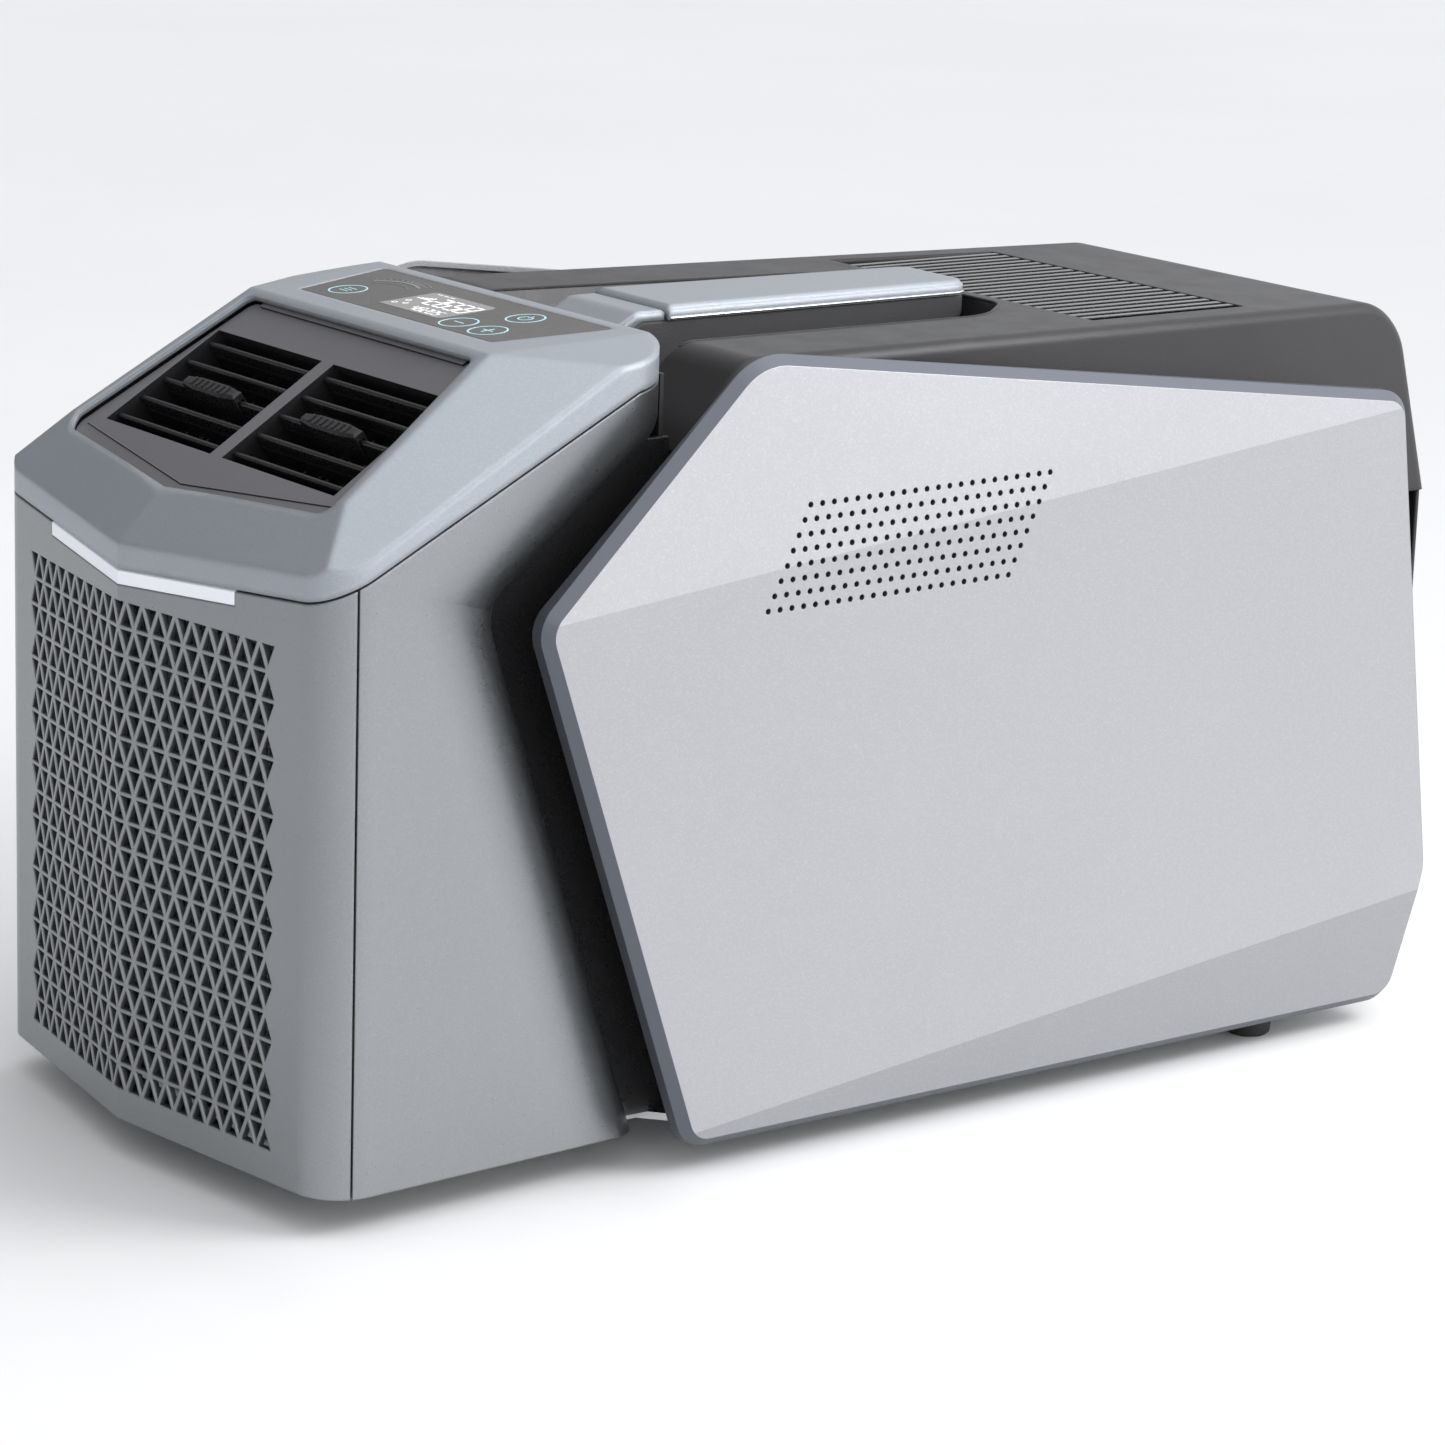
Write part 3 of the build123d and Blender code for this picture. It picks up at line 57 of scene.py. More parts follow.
def make_camera():
    """Camera from its azimuth, elevation and roll about the point it aims at."""
    back = Vector((
        cos(CAMERA_ELEVATION) * sin(CAMERA_AZIMUTH),
        -cos(CAMERA_ELEVATION) * cos(CAMERA_AZIMUTH),
        sin(CAMERA_ELEVATION),
    ))
    level = Vector((cos(CAMERA_AZIMUTH), sin(CAMERA_AZIMUTH), 0))
    upright = back.cross(level)
    right = cos(CAMERA_ROLL) * level + sin(CAMERA_ROLL) * upright
    up = cos(CAMERA_ROLL) * upright - sin(CAMERA_ROLL) * level
    data = bpy.data.cameras.new("camera")
    data.lens = CAMERA_LENS
    data.clip_end = 50
    camera = bpy.data.objects.new("camera", data)
    scene.collection.objects.link(camera)
    turn = Matrix((right, up, back)).transposed().to_4x4()
    camera.matrix_world = Matrix.Translation(CAMERA_AIM + CAMERA_DISTANCE * back) @ turn
    scene.camera = camera


make_camera()


# ---------------------------------------------------------------- materials
class Nodes:
    """A material's node tree with short calls to add and join nodes."""

    def __init__(self, name):
        self.material = bpy.data.materials.new(name)
        self.material.use_nodes = True
        self.tree = self.material.node_tree
        self.shader = self.tree.nodes["Principled BSDF"]
        self.place = self.add("ShaderNodeTexCoord").outputs["Object"]

    def add(self, kind, **settings):
        node = self.tree.nodes.new(kind)
        for key, value in settings.items():
            setattr(node, key, value)
        return node

    def join(self, source, target):
        self.tree.links.new(source, target)

    def joined(self, name):
        """What now feeds an input of the shader."""
        return self.shader.inputs[name].links[0].from_socket

    def parts(self, vector):
        """X, Y and Z of a vector."""
        split = self.add("ShaderNodeSeparateXYZ")
        self.join(vector, split.inputs[0])
        return split.outputs

    def noise(self, scale, detail=2.0, stretch=None):
        """Noise value at a scale in features per metre, perhaps stretched along an axis."""
        node = self.add("ShaderNodeTexNoise")
        node.inputs["Scale"].default_value = scale
        node.inputs["Detail"].default_value = detail
        place = self.place
        if stretch:
            mapping = self.add("ShaderNodeMapping")
            mapping.inputs["Scale"].default_value = stretch
            self.join(place, mapping.inputs["Vector"])
            place = mapping.outputs["Vector"]
        self.join(place, node.inputs["Vector"])
        return node.outputs["Fac"]

    def span(self, value, low, high, from_low=0.3, from_high=0.7):
        """A value mapped from one range to another, clamped."""
        node = self.add("ShaderNodeMapRange")
        node.inputs["From Min"].default_value = from_low
        node.inputs["From Max"].default_value = from_high
        node.inputs["To Min"].default_value = low
        node.inputs["To Max"].default_value = high
        self.join(value, node.inputs["Value"])
        return node.outputs["Result"]

    def blend(self, share, first, second, mode="MIX"):
        """Two colours mixed; each is a colour tuple or a socket."""
        node = self.add("ShaderNodeMix", data_type="RGBA", blend_type=mode)
        if isinstance(share, float):
            node.inputs["Factor"].default_value = share
        else:
            self.join(share, node.inputs["Factor"])
        for key, colour in ((6, first), (7, second)):
            if isinstance(colour, tuple):
                node.inputs[key].default_value = (*colour, 1)
            else:
                self.join(colour, node.inputs[key])
        return node.outputs[2]

    def calc(self, operation, first, second):
        node = self.add("ShaderNodeMath", operation=operation)
        for key, value in ((0, first), (1, second)):
            if isinstance(value, (int, float)):
                node.inputs[key].default_value = value
            else:
                self.join(value, node.inputs[key])
        return node.outputs[0]

    def soft_edges(self, radius):
        """Normal rounded over sharp edges, and how much it differs from the flat one there."""
        bevel = self.add("ShaderNodeBevel", samples=4)
        bevel.inputs["Radius"].default_value = radius
        geometry = self.add("ShaderNodeNewGeometry")
        dot = self.add("ShaderNodeVectorMath", operation="DOT_PRODUCT")
        self.join(bevel.outputs["Normal"], dot.inputs[0])
        self.join(geometry.outputs["Normal"], dot.inputs[1])
        return bevel.outputs["Normal"], self.span(dot.outputs["Value"], 1.0, 0.0, 0.9, 0.998)

    def bump(self, height, strength, distance, normal=None):
        node = self.add("ShaderNodeBump")
        node.inputs["Strength"].default_value = strength
        node.inputs["Distance"].default_value = distance
        self.join(height, node.inputs["Height"])
        if normal:
            self.join(normal, node.inputs["Normal"])
        return node.outputs["Normal"]

    def facing(self, axis):
        """How far the surface faces along an axis, from -1 to 1."""
        return self.parts(self.add("ShaderNodeNewGeometry").outputs["True Normal"])[axis]

    def sides(self, axis, square=0.80, along=0.97):
        """How far the surface faces away from an axis: 0 facing along it, 1 square to it."""
        facing = self.calc("ABSOLUTE", self.facing(axis), 0)
        return self.span(facing, 1.0, 0.0, square, along)


FLAKE_SCALE = 1900.0        # flakes and grain in features per metre
GRAIN_DEPTH = 0.2 * MM


def moulded(name, colour, rough=0.5, metallic=0.0, grain=(2600, 0.12), mottle=0.05, edge=0.10,
            radius=0.6 * MM, coat=0.0, flakes=0.0):
    """Painted or moulded surface: fine grain, slow mottling, uneven gloss, lighter edges that are
    partly wear and partly painted highlight.

    grain is its scale and strength, mottle the share by which the colour wanders, edge how much
    the edges are lightened as wear and painted highlight, radius how far they are rounded, and
    flakes how much metal flakes sparkle.
    """
    nodes = Nodes(name)
    shader = nodes.shader
    grain_scale, grain_strength = grain
    fine = nodes.noise(grain_scale, 3.0)
    slow = nodes.noise(9.0, 3.0)
    dark = tuple(c * (1 - mottle) for c in colour)
    light = tuple(min(1, c * (1 + mottle)) for c in colour)
    paint = nodes.blend(nodes.span(slow, 0.0, 1.0), dark, light)
    if flakes:
        cells = nodes.add("ShaderNodeTexVoronoi")
        cells.inputs["Scale"].default_value = FLAKE_SCALE
        nodes.join(nodes.place, cells.inputs["Vector"])
        spark = nodes.span(cells.outputs["Color"], 0.0, flakes, 0.55, 1.0)
        paint = nodes.blend(spark, paint, (1.0, 1.0, 1.0))
        nodes.join(nodes.span(cells.outputs["Color"], rough - 0.08, rough + 0.10, 0.0, 1.0),
                   shader.inputs["Roughness"])
    else:
        uneven = nodes.blend(0.5, nodes.noise(60.0, 4.0), fine)
        nodes.join(nodes.span(uneven, rough - 0.06, rough + 0.06), shader.inputs["Roughness"])
    rounded, edge_wear_and_highlight = nodes.soft_edges(radius)
    # Lighter edges: partly wear, partly a painted highlight along the rounded edges.
    pale = tuple(min(1, c * 1.5 + 0.04) for c in colour)
    scuff_and_highlight = nodes.calc("MULTIPLY", edge_wear_and_highlight, nodes.span(nodes.noise(120.0, 3.0), edge / 3, edge))
    paint = nodes.blend(scuff_and_highlight, paint, pale)
    nodes.join(paint, shader.inputs["Base Color"])
    nodes.join(nodes.bump(fine, grain_strength, GRAIN_DEPTH, rounded), shader.inputs["Normal"])
    shader.inputs["Metallic"].default_value = metallic
    shader.inputs["Coat Weight"].default_value = coat
    shader.inputs["Coat Roughness"].default_value = 0.2
    return nodes


def sheet_metal(name, colour, rough=0.35, stretch=(1, 1, 30)):
    """Bare metal: drawn grain in one direction, spangle patches and dulled areas."""
    nodes = Nodes(name)
    grain = nodes.noise(160.0, 4.0, stretch)
    patches = nodes.noise(70.0, 1.0)
    dull = tuple(c * 0.72 for c in colour)
    nodes.join(nodes.blend(nodes.span(patches, 0.0, 0.6), colour, dull),
               nodes.shader.inputs["Base Color"])
    nodes.join(nodes.span(grain, rough - 0.1, rough + 0.15), nodes.shader.inputs["Roughness"])
    nodes.join(nodes.bump(grain, 0.15, 0.0001), nodes.shader.inputs["Normal"])
    nodes.shader.inputs["Metallic"].default_value = 1.0
    return nodes


def glow(nodes, colour, strength):
    nodes.shader.inputs["Emission Color"].default_value = (*colour, 1)
    nodes.shader.inputs["Emission Strength"].default_value = strength
    return nodes


def panel_paint():
    """Fine silver paint with painted light and shade: lighter where the face leans back and darker
    where it leans under, and a dark bluish grey painted as shade on the rim and chamfer."""
    nodes = moulded("panel_silver", (0.41, 0.412, 0.428), rough=0.42, metallic=0.55,
                    grain=(3200, 0.08), mottle=0.015, edge=0.25, radius=0.5 * MM, flakes=0.12)
    face = nodes.joined("Base Color")
    # Painted shade where the face leans under, painted light where it leans back.
    painted_shade_under = nodes.blend(1.0, face, (0.70, 0.70, 0.71), "MULTIPLY")
    painted_light_back = nodes.blend(1.0, face, (1.03, 1.03, 1.03), "MULTIPLY")
    lean = nodes.span(nodes.facing("Z"), 0.0, 1.0, -0.10, 0.08)
    face = nodes.blend(lean, painted_shade_under, painted_light_back)
    # Painted shade: a dark bluish grey on the rim and chamfer.
    painted_rim_shade = (0.115, 0.126, 0.148)
    nodes.join(nodes.blend(nodes.sides("X"), face, painted_rim_shade), nodes.shader.inputs["Base Color"])
    return nodes


# The side shell's rear edge in side view: y and z of its notch, and where its two runs end.
SHELL_NOTCH = Vector((-201.5 * MM, 236 * MM))
SHELL_SHOULDER_Z = 304 * MM
SHELL_FOOT_Y = -125.5 * MM
ROLL_REACH = 34 * MM
ROLL_DEPTH = 9 * MM


def before_edge(nodes, y, z, corner):
    """Distance in front of the line from the shell's notch to a corner at (y, z)."""
    run = (corner - SHELL_NOTCH).normalized()
    if run.y > 0:
        forward = Vector((-run.y, run.x))
    else:
        forward = Vector((run.y, -run.x))
    from_y = nodes.calc("MULTIPLY", nodes.calc("SUBTRACT", y, SHELL_NOTCH.x), forward.x)
    from_z = nodes.calc("MULTIPLY", nodes.calc("SUBTRACT", z, SHELL_NOTCH.y), forward.y)
    return nodes.calc("ADD", from_y, from_z)


def shell_paint(name):
    """Satin grey with metal flakes."""
    return moulded(name, (0.28, 0.292, 0.302), rough=0.34, metallic=0.88, grain=(3000, 0.05),
                   mottle=0.02, edge=0.35, radius=1.2 * MM, flakes=0.05)


def rolled_shell():
    """The side shells' paint, with a bump that rolls the surface softly in at the rear edge and
    painted shade that darkens its colour there.
    """
    nodes = shell_paint("shell_satin_rolled_painted_shade")
    low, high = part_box("head_side_right")
    place = nodes.parts(nodes.place)
    foot = before_edge(nodes, place["Y"], place["Z"], Vector((SHELL_FOOT_Y, low.z)))
    shoulder = before_edge(nodes, place["Y"], place["Z"], Vector((high.y, SHELL_SHOULDER_Z)))
    near = nodes.span(nodes.calc("MAXIMUM", foot, shoulder), 1.0, 0.0, 0.0, ROLL_REACH)
    drop = nodes.calc("MULTIPLY", nodes.calc("POWER", near, 2.5), -1.0)
    rolled = nodes.bump(drop, 1.0, ROLL_DEPTH, nodes.joined("Normal"))
    nodes.join(rolled, nodes.shader.inputs["Normal"])
    # Painted shade: the colour darkens towards near black close to the rear edge.
    shade = nodes.calc("MULTIPLY", nodes.calc("POWER", near, 1.5), 0.8)
    shaded = nodes.blend(shade, nodes.joined("Base Color"), (0.045, 0.048, 0.052))
    nodes.join(shaded, nodes.shader.inputs["Base Color"])
    return nodes


def bezel_paint():
    """Charcoal grain on the bezel's face, and black painted as shade down the walls of the vent
    openings.
    """
    nodes = moulded("bezel_charcoal", (0.135, 0.133, 0.142), rough=0.45, metallic=0.1,
                    grain=(1500, 0.35), mottle=0.08, edge=0.25, radius=0.4 * MM)
    # Painted shade: the walls of the vent openings are turned black.
    black = (0.010, 0.010, 0.011)
    shaded_walls = nodes.blend(nodes.sides("Z", 0.60, 0.75), nodes.joined("Base Color"), black)
    nodes.join(shaded_walls, nodes.shader.inputs["Base Color"])
    return nodes


materials = {
    "shell": shell_paint("shell_satin_grey"),
    "rolled": rolled_shell(),
    "cap": moulded("cap_blue_grey", (0.33, 0.358, 0.39), rough=0.36, metallic=0.5,
                   grain=(3000, 0.06), mottle=0.02, edge=0.30, radius=4 * MM, flakes=0.08),
    "panel": panel_paint(),
    "bezel": bezel_paint(),
    "blade": moulded("blade_black", (0.012, 0.012, 0.013), rough=0.26, grain=(1200, 0.10),
                     mottle=0.10, edge=0.40),
    "deck": moulded("deck_grain", (0.038, 0.037, 0.039), rough=0.36, metallic=0.6,
                    grain=(1700, 0.35), mottle=0.06, edge=0.25, radius=2.5 * MM),
    "grip": moulded("grip_grain", (0.050, 0.050, 0.052), rough=0.46, metallic=0.1,
                    grain=(1300, 0.50), mottle=0.08, edge=0.30, radius=2.5 * MM),
    "grille": moulded("grille_gloss", (0.006, 0.006, 0.007), rough=0.18, grain=(900, 0.08),
                      edge=0.30, radius=0.8 * MM, coat=0.8),
    "glass": moulded("display_smoke", (0.060, 0.054, 0.051), rough=0.30, grain=(700, 0.02),
                     edge=0.2, radius=0.3 * MM),
    "lcd": moulded("lcd_grey", (0.265, 0.258, 0.252), rough=0.32, grain=(700, 0.02),
                   mottle=0.03, radius=0.2 * MM),
    "figures": glow(moulded("figure_white", (0.85, 0.86, 0.88), rough=0.40, grain=(1500, 0.05),
                            mottle=0.02, radius=0.2 * MM), (0.92, 0.94, 1.0), 0.35),
    "diffuser": glow(moulded("light_diffuser", (0.80, 0.81, 0.85), rough=0.42,
                             grain=(1500, 0.08), mottle=0.02, radius=0.4 * MM),
                     (0.85, 0.88, 1.0), 0.12),
    "dark": moulded("chassis_dark", (0.022, 0.022, 0.023), rough=0.55, grain=(1500, 0.30),
                    mottle=0.12, edge=0.15),
    "enamel": moulded("black_enamel", (0.015, 0.015, 0.016), rough=0.28, grain=(400, 0.20),
                      mottle=0.15, edge=0.25, radius=1 * MM, coat=0.5),
    "rubber": moulded("rubber_black", (0.018, 0.018, 0.018), rough=0.75, grain=(2200, 0.50),
                      mottle=0.20, edge=0.20, radius=0.8 * MM),
    "net": moulded("filter_nylon", (0.055, 0.062, 0.064), rough=0.60, grain=(2500, 0.30),
                   mottle=0.15, radius=0.3 * MM),
    "board": moulded("solder_mask", (0.02, 0.12, 0.06), rough=0.35, grain=(600, 0.20),
                     mottle=0.15, edge=0.2),
    "steel": sheet_metal("zinc_sheet", (0.56, 0.57, 0.58)),
    "fins": sheet_metal("fin_aluminium", (0.70, 0.71, 0.72), rough=0.30, stretch=(30, 1, 1)),
    "copper": sheet_metal("drawn_copper", (0.72, 0.36, 0.22), rough=0.28, stretch=(1, 20, 1)),
    "bright": sheet_metal("bright_trim", (0.80, 0.82, 0.85), rough=0.22, stretch=(1, 12, 1)),
    "trim": moulded("edge_trim", (0.30, 0.31, 0.33), rough=0.35, metallic=0.6,
                    grain=(2500, 0.05), mottle=0.03, edge=0.2, radius=0.3 * MM),
}

slot_material = {
    "shell_grey": "shell",
    "cap_grey": "cap",
    "silver_panel": "panel",
    "dark_plastic": "dark",
    "black_gloss": "blade",
    "bezel_charcoal": "bezel",
    "light_white": "diffuser",
    "display": "glass",
    "rubber": "rubber",
    "galvanised": "steel",
    "fin_alu": "fins",
    "copper": "copper",
    "black_paint": "enamel",
    "board_green": "board",
    "filter_mesh": "net",
    "screw_steel": "steel",
}
node_material = {
    "head_side_right": "rolled",
    "head_side_left": "rolled",
    "deck_shell": "deck",
    "rear_cover": "deck",
    "handle_grip": "grip",
    "top_grille": "grille",
}


def paint(thing, key):
    thing.data.materials.clear()
    thing.data.materials.append(materials[key].material)


for part in frame["record"]["subparts"]:
    name = part["node"]
    paint(frame["nodes"][name], node_material.get(name, slot_material[part["material_slot"]]))


# ---------------------------------------------------------------- making pieces
def finish_piece(piece, body, material):
    """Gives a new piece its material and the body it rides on."""
    paint(piece, material)
    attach(piece, body)
    return piece


def mesh_piece(name, build, body, material):
    """A piece whose mesh is made by build(bm)."""
    bm = bmesh.new()
    build(bm)
    bmesh.ops.recalc_face_normals(bm, faces=bm.faces)
    mesh = bpy.data.meshes.new(name)
    bm.to_mesh(mesh)
    bm.free()
    piece = bpy.data.objects.new(name, mesh)
    scene.collection.objects.link(piece)
    return finish_piece(piece, body, material)


def rectangle(left, low, right, high):
    return [(left, low), (right, low), (right, high), (left, high)]


def prism(bm, outline, base, across, along, up, height):
    """A flat shape from 2-D outline points, in the plane of across and along, raised along up."""
    low = [bm.verts.new(base + across * x + along * y) for x, y in outline]
    high = [bm.verts.new(base + across * x + along * y + up * height) for x, y in outline]
    count = len(outline)
    bm.faces.new(low[::-1])
    bm.faces.new(high)
    for i in range(count):
        j = (i + 1) % count
        bm.faces.new((low[i], low[j], high[j], high[i]))


def ring_band(bm, radius, width, base, across, along, up, height, start=0.0, end=2 * pi):
    """A flat ring, or part of one, raised along up."""
    steps = 40
    closed = end - start == 2 * pi
    rows = []
    for i in range(steps if closed else steps + 1):
        angle = start + (end - start) * i / steps
        out = across * cos(angle) + along * sin(angle)
        rows.append([
            bm.verts.new(base + out * (radius - width / 2)),
            bm.verts.new(base + out * (radius - width / 2) + up * height),
            bm.verts.new(base + out * (radius + width / 2) + up * height),
            bm.verts.new(base + out * (radius + width / 2)),
        ])
    pairs = list(zip(rows, rows[1:]))
    if closed:
        pairs.append((rows[-1], rows[0]))
    else:
        bm.faces.new(rows[0])
        bm.faces.new(rows[-1][::-1])
    for first, second in pairs:
        for k in range(4):
            m = (k + 1) % 4
            bm.faces.new((first[k], second[k], second[m], first[m]))


MERGE_DISTANCE = 0.02 * MM
SHARP = radians(12)


def crease_paths(node, keep):
    """Chains of sharp mesh edges of a CAD node that pass keep(middle, normal_a, normal_b)."""
    bm = bmesh.new()
    bm.from_mesh(frame["nodes"][node].data)
    bmesh.ops.remove_doubles(bm, verts=bm.verts, dist=MERGE_DISTANCE)
    bm.normal_update()
    neighbours = {}
    for edge in bm.edges:
        if len(edge.link_faces) != 2 or edge.calc_face_angle(0) < SHARP:
            continue
        first, second = edge.link_faces
        middle = (edge.verts[0].co + edge.verts[1].co) / 2
        if keep(middle, first.normal, second.normal):
            a, b = edge.verts
            neighbours.setdefault(a.index, []).append(b.index)
            neighbours.setdefault(b.index, []).append(a.index)
    bm.verts.ensure_lookup_table()
    points = {i: bm.verts[i].co.copy() for i in neighbours}
    bm.free()
    paths = []
    unused = set(neighbours)
    while unused:
        ends = [i for i in unused if len(neighbours[i]) == 1]
        here = min(ends or unused)
        chain = [here]
        unused.discard(here)
        while True:
            onward = [i for i in neighbours[here] if i in unused]
            if not onward:
                break
            here = min(onward)
            unused.discard(here)
            chain.append(here)
        closed = len(chain) > 2 and chain[0] in neighbours[chain[-1]]
        if len(chain) > 1:
            paths.append(([points[i] for i in chain], closed))
    return paths


def trim_piece(name, paths, radius, shift, body, material):
    """Thin round trim along paths, shifted bodily; a curve with a bevel."""
    curve = bpy.data.curves.new(name, "CURVE")
    curve.dimensions = "3D"
    curve.bevel_depth = radius
    curve.bevel_resolution = 3
    curve.use_fill_caps = True
    for points, closed in paths:
        spline = curve.splines.new("POLY")
        spline.points.add(len(points) - 1)
        for target, point in zip(spline.points, points):
            target.co = (*(point + shift), 1)
        spline.use_cyclic_u = closed
    piece = bpy.data.objects.new(name, curve)
    scene.collection.objects.link(piece)
    return finish_piece(piece, body, material)


# ---------------------------------------------------------------- display on the flat top
glass_low, glass_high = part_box("display_glass")
GLASS_THICK = 1.7 * MM
glass_length = glass_high.y - glass_low.y
glass_rise = atan2(glass_high.z - glass_low.z - GLASS_THICK, glass_length)
glass_along = Vector((0, cos(glass_rise), sin(glass_rise)))
glass_up = Vector((0, -sin(glass_rise), cos(glass_rise)))
glass_rear = Vector((0, glass_high.y, glass_high.z))
glass_front = glass_rear - glass_along * (glass_length / cos(glass_rise))
ACROSS = Vector((1, 0, 0))
PRINT_HEIGHT = 0.12 * MM


def on_glass(x, y):
    """Point on the display, x from its middle and y from its front edge, in millimetres."""
    return glass_front + ACROSS * (x * MM) + glass_along * (y * MM)


def print_shape(bm, outline, x, y, size=1.0):
    scaled = [(px * size * MM, py * size * MM) for px, py in outline]
    prism(bm, scaled, on_glass(x, y), ACROSS, glass_along, glass_up, PRINT_HEIGHT)


# A seven-segment figure is 5 wide and 10 tall: one stroke, and each stroke's corner and direction.
SEGMENT = [(0, -0.5), (0.6, 0), (4.4, 0), (5, -0.5), (4.4, -1), (0.6, -1)]
DIGIT_SEGMENTS = {
    "2": "abged", "6": "afgedc", "4": "fgbc", "8": "abcdefg", "5": "afgcd", "0": "abcdef",
}
SEGMENT_PLACES = {
    "a": (0, 10, False), "g": (0, 5, False), "d": (0, 0, False),
    "f": (0, 5, True), "b": (5, 5, True), "e": (0, 0, True), "c": (5, 0, True),
}


def digit(bm, figure, x, y, size):
    """Seven-segment figure; its strokes lean a little like a real one's."""
    for letter in DIGIT_SEGMENTS[figure]:
        left, low, upright = SEGMENT_PLACES[letter]
        outline = []
        for px, py in SEGMENT:
            if upright:
                px, py = -1 - py, px
            else:
                py = py + 0.5
            lean = 0.12 * (low + py)
            outline.append((left + px + lean, low + py))
        print_shape(bm, outline, x, y, size)


def build_digits(bm):
    """Large figures over a row of small ones."""
    for step, figure in enumerate("2658"):
        digit(bm, figure, -11 + 7.3 * step, 20.5, 1.1)
    for step, figure in enumerate("48205"):
        digit(bm, figure, -7 + 4.2 * step, 11, 0.56)


mesh_piece("display_digits", build_digits, "housing", "figures")


def build_lcd(bm):
    """Paler window behind the figures."""
    outline = [(-25, 9), (17, 9), (19, 11), (19, 35), (17, 37), (-23, 37), (-25, 35)]
    scaled = [(x * MM, y * MM) for x, y in outline]
    prism(bm, scaled, on_glass(0, 0), ACROSS, glass_along, glass_up, PRINT_HEIGHT / 2)


mesh_piece("display_lcd", build_lcd, "housing", "lcd")


def build_icons(bm):
    """Rising bars, small rings and ticks beside the figures."""
    for step in range(5):
        bar = rectangle(0, 0, 1.1, 1.2 + 0.8 * step)
        print_shape(bm, bar, -22 + 1.9 * step, 25)
    for x, y in ((-20, 20), (-16, 16), (-21, 14)):
        ring_band(bm, 1.1 * MM, 0.4 * MM, on_glass(x, y), ACROSS, glass_along, glass_up,
                  PRINT_HEIGHT)
    for step in range(3):
        print_shape(bm, rectangle(0, 0, 3.4, 0.5), -21 + 4.5 * step, 34.4)


mesh_piece("display_icons", build_icons, "housing", "figures")

POWER_BUTTON = (42.6, 34.2)
MINUS_BUTTON = (30.5, 11.0)
PLUS_BUTTON = (51.4, 10.8)
MODE_BUTTON = (-55.9, 13.8)
materials["cyan"] = glow(moulded("button_cyan", (0.42, 0.66, 0.70), rough=0.4),
                         (0.45, 0.80, 0.86), 0.25)


def build_buttons(bm):
    """Touch buttons: a ring each with a plain sign inside."""
    for x, y in (POWER_BUTTON, MINUS_BUTTON, PLUS_BUTTON, MODE_BUTTON):
        ring_band(bm, 7.8 * MM, 0.7 * MM, on_glass(x, y), ACROSS, glass_along, glass_up,
                  PRINT_HEIGHT)
    ring_band(bm, 3 * MM, 0.6 * MM, on_glass(*POWER_BUTTON), ACROSS, glass_along, glass_up,
              PRINT_HEIGHT, radians(120), radians(420))
    print_shape(bm, rectangle(-0.3, 1, 0.3, 4.2), *POWER_BUTTON)
    for button in (MINUS_BUTTON, PLUS_BUTTON):
        print_shape(bm, rectangle(-3.2, -0.35, 3.2, 0.35), *button)
    print_shape(bm, rectangle(-0.35, 0.35, 0.35, 3.2), *PLUS_BUTTON)
    print_shape(bm, rectangle(-0.35, -3.2, 0.35, -0.35), *PLUS_BUTTON)
    for row in (-2.2, 0, 2.2):
        print_shape(bm, rectangle(-3, row - 0.3, 3, row + 0.3), *MODE_BUTTON)


mesh_piece("display_buttons", build_buttons, "housing", "cyan")


GAUGE = (-47, 16)


def build_gauge(bm):
    """Plain graphic at the left: nested arcs with ticks, like a dial."""
    centre = on_glass(*GAUGE)
    for radius, width in ((27, 0.5), (22, 1.6), (17.5, 0.4)):
        ring_band(bm, radius * MM, width * MM, centre, ACROSS, glass_along, glass_up,
                  PRINT_HEIGHT, radians(62), radians(138))
    for step in range(12):
        angle = radians(64 + 6.5 * step)
        out = (cos(angle), sin(angle))
        side = (-out[1] * 0.25, out[0] * 0.25)
        outline = [
            (out[0] * 24 + side[0], out[1] * 24 + side[1]),
            (out[0] * 24 - side[0], out[1] * 24 - side[1]),
            (out[0] * 26 - side[0], out[1] * 26 - side[1]),
            (out[0] * 26 + side[0], out[1] * 26 + side[1]),
        ]
        print_shape(bm, outline, *GAUGE)


mesh_piece("display_gauge", build_gauge, "housing", "trim")


# ---------------------------------------------------------------- vent: bezel line and tab ribs
def middle_of(node):
    low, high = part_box(node)
    return (low + high) / 2


top_row = middle_of("louver_right_1")
low_row = middle_of("louver_right_5")
vent_along = Vector((0, top_row.y - low_row.y, top_row.z - low_row.z)).normalized()
vent_up = ACROSS.cross(vent_along)
vent_pivot = middle_of("louver_right_3")
vent_pivot.x = 0
LOUVER_ROW = -46            # the middle blade's place down the slope
BEZEL_LIFT = 8              # from the blade pivots up to the bezel's face
BEZEL_LINE = ((-94, -80.5), (0, -93.5), (94, -80.5))
TAB_LIFT = 10.4             # from the blade pivots up to a thumb tab's face
TAB_CENTRE = 45             # from the middle of the vent to a thumb tab's
RIB_PITCH = 4.2


def on_vent(x, slope_y, lift):
    """Point on the vent face by millimetres across, down the slope and up from the pivots."""
    return (vent_pivot + ACROSS * (x * MM) + vent_along * ((slope_y - LOUVER_ROW) * MM)
            + vent_up * (lift * MM))


bezel_line = [on_vent(x, y, BEZEL_LIFT) for x, y in BEZEL_LINE]
trim_piece("bezel_line", [(bezel_line, False)], 0.5 * MM, Vector(), "housing", "bezel")


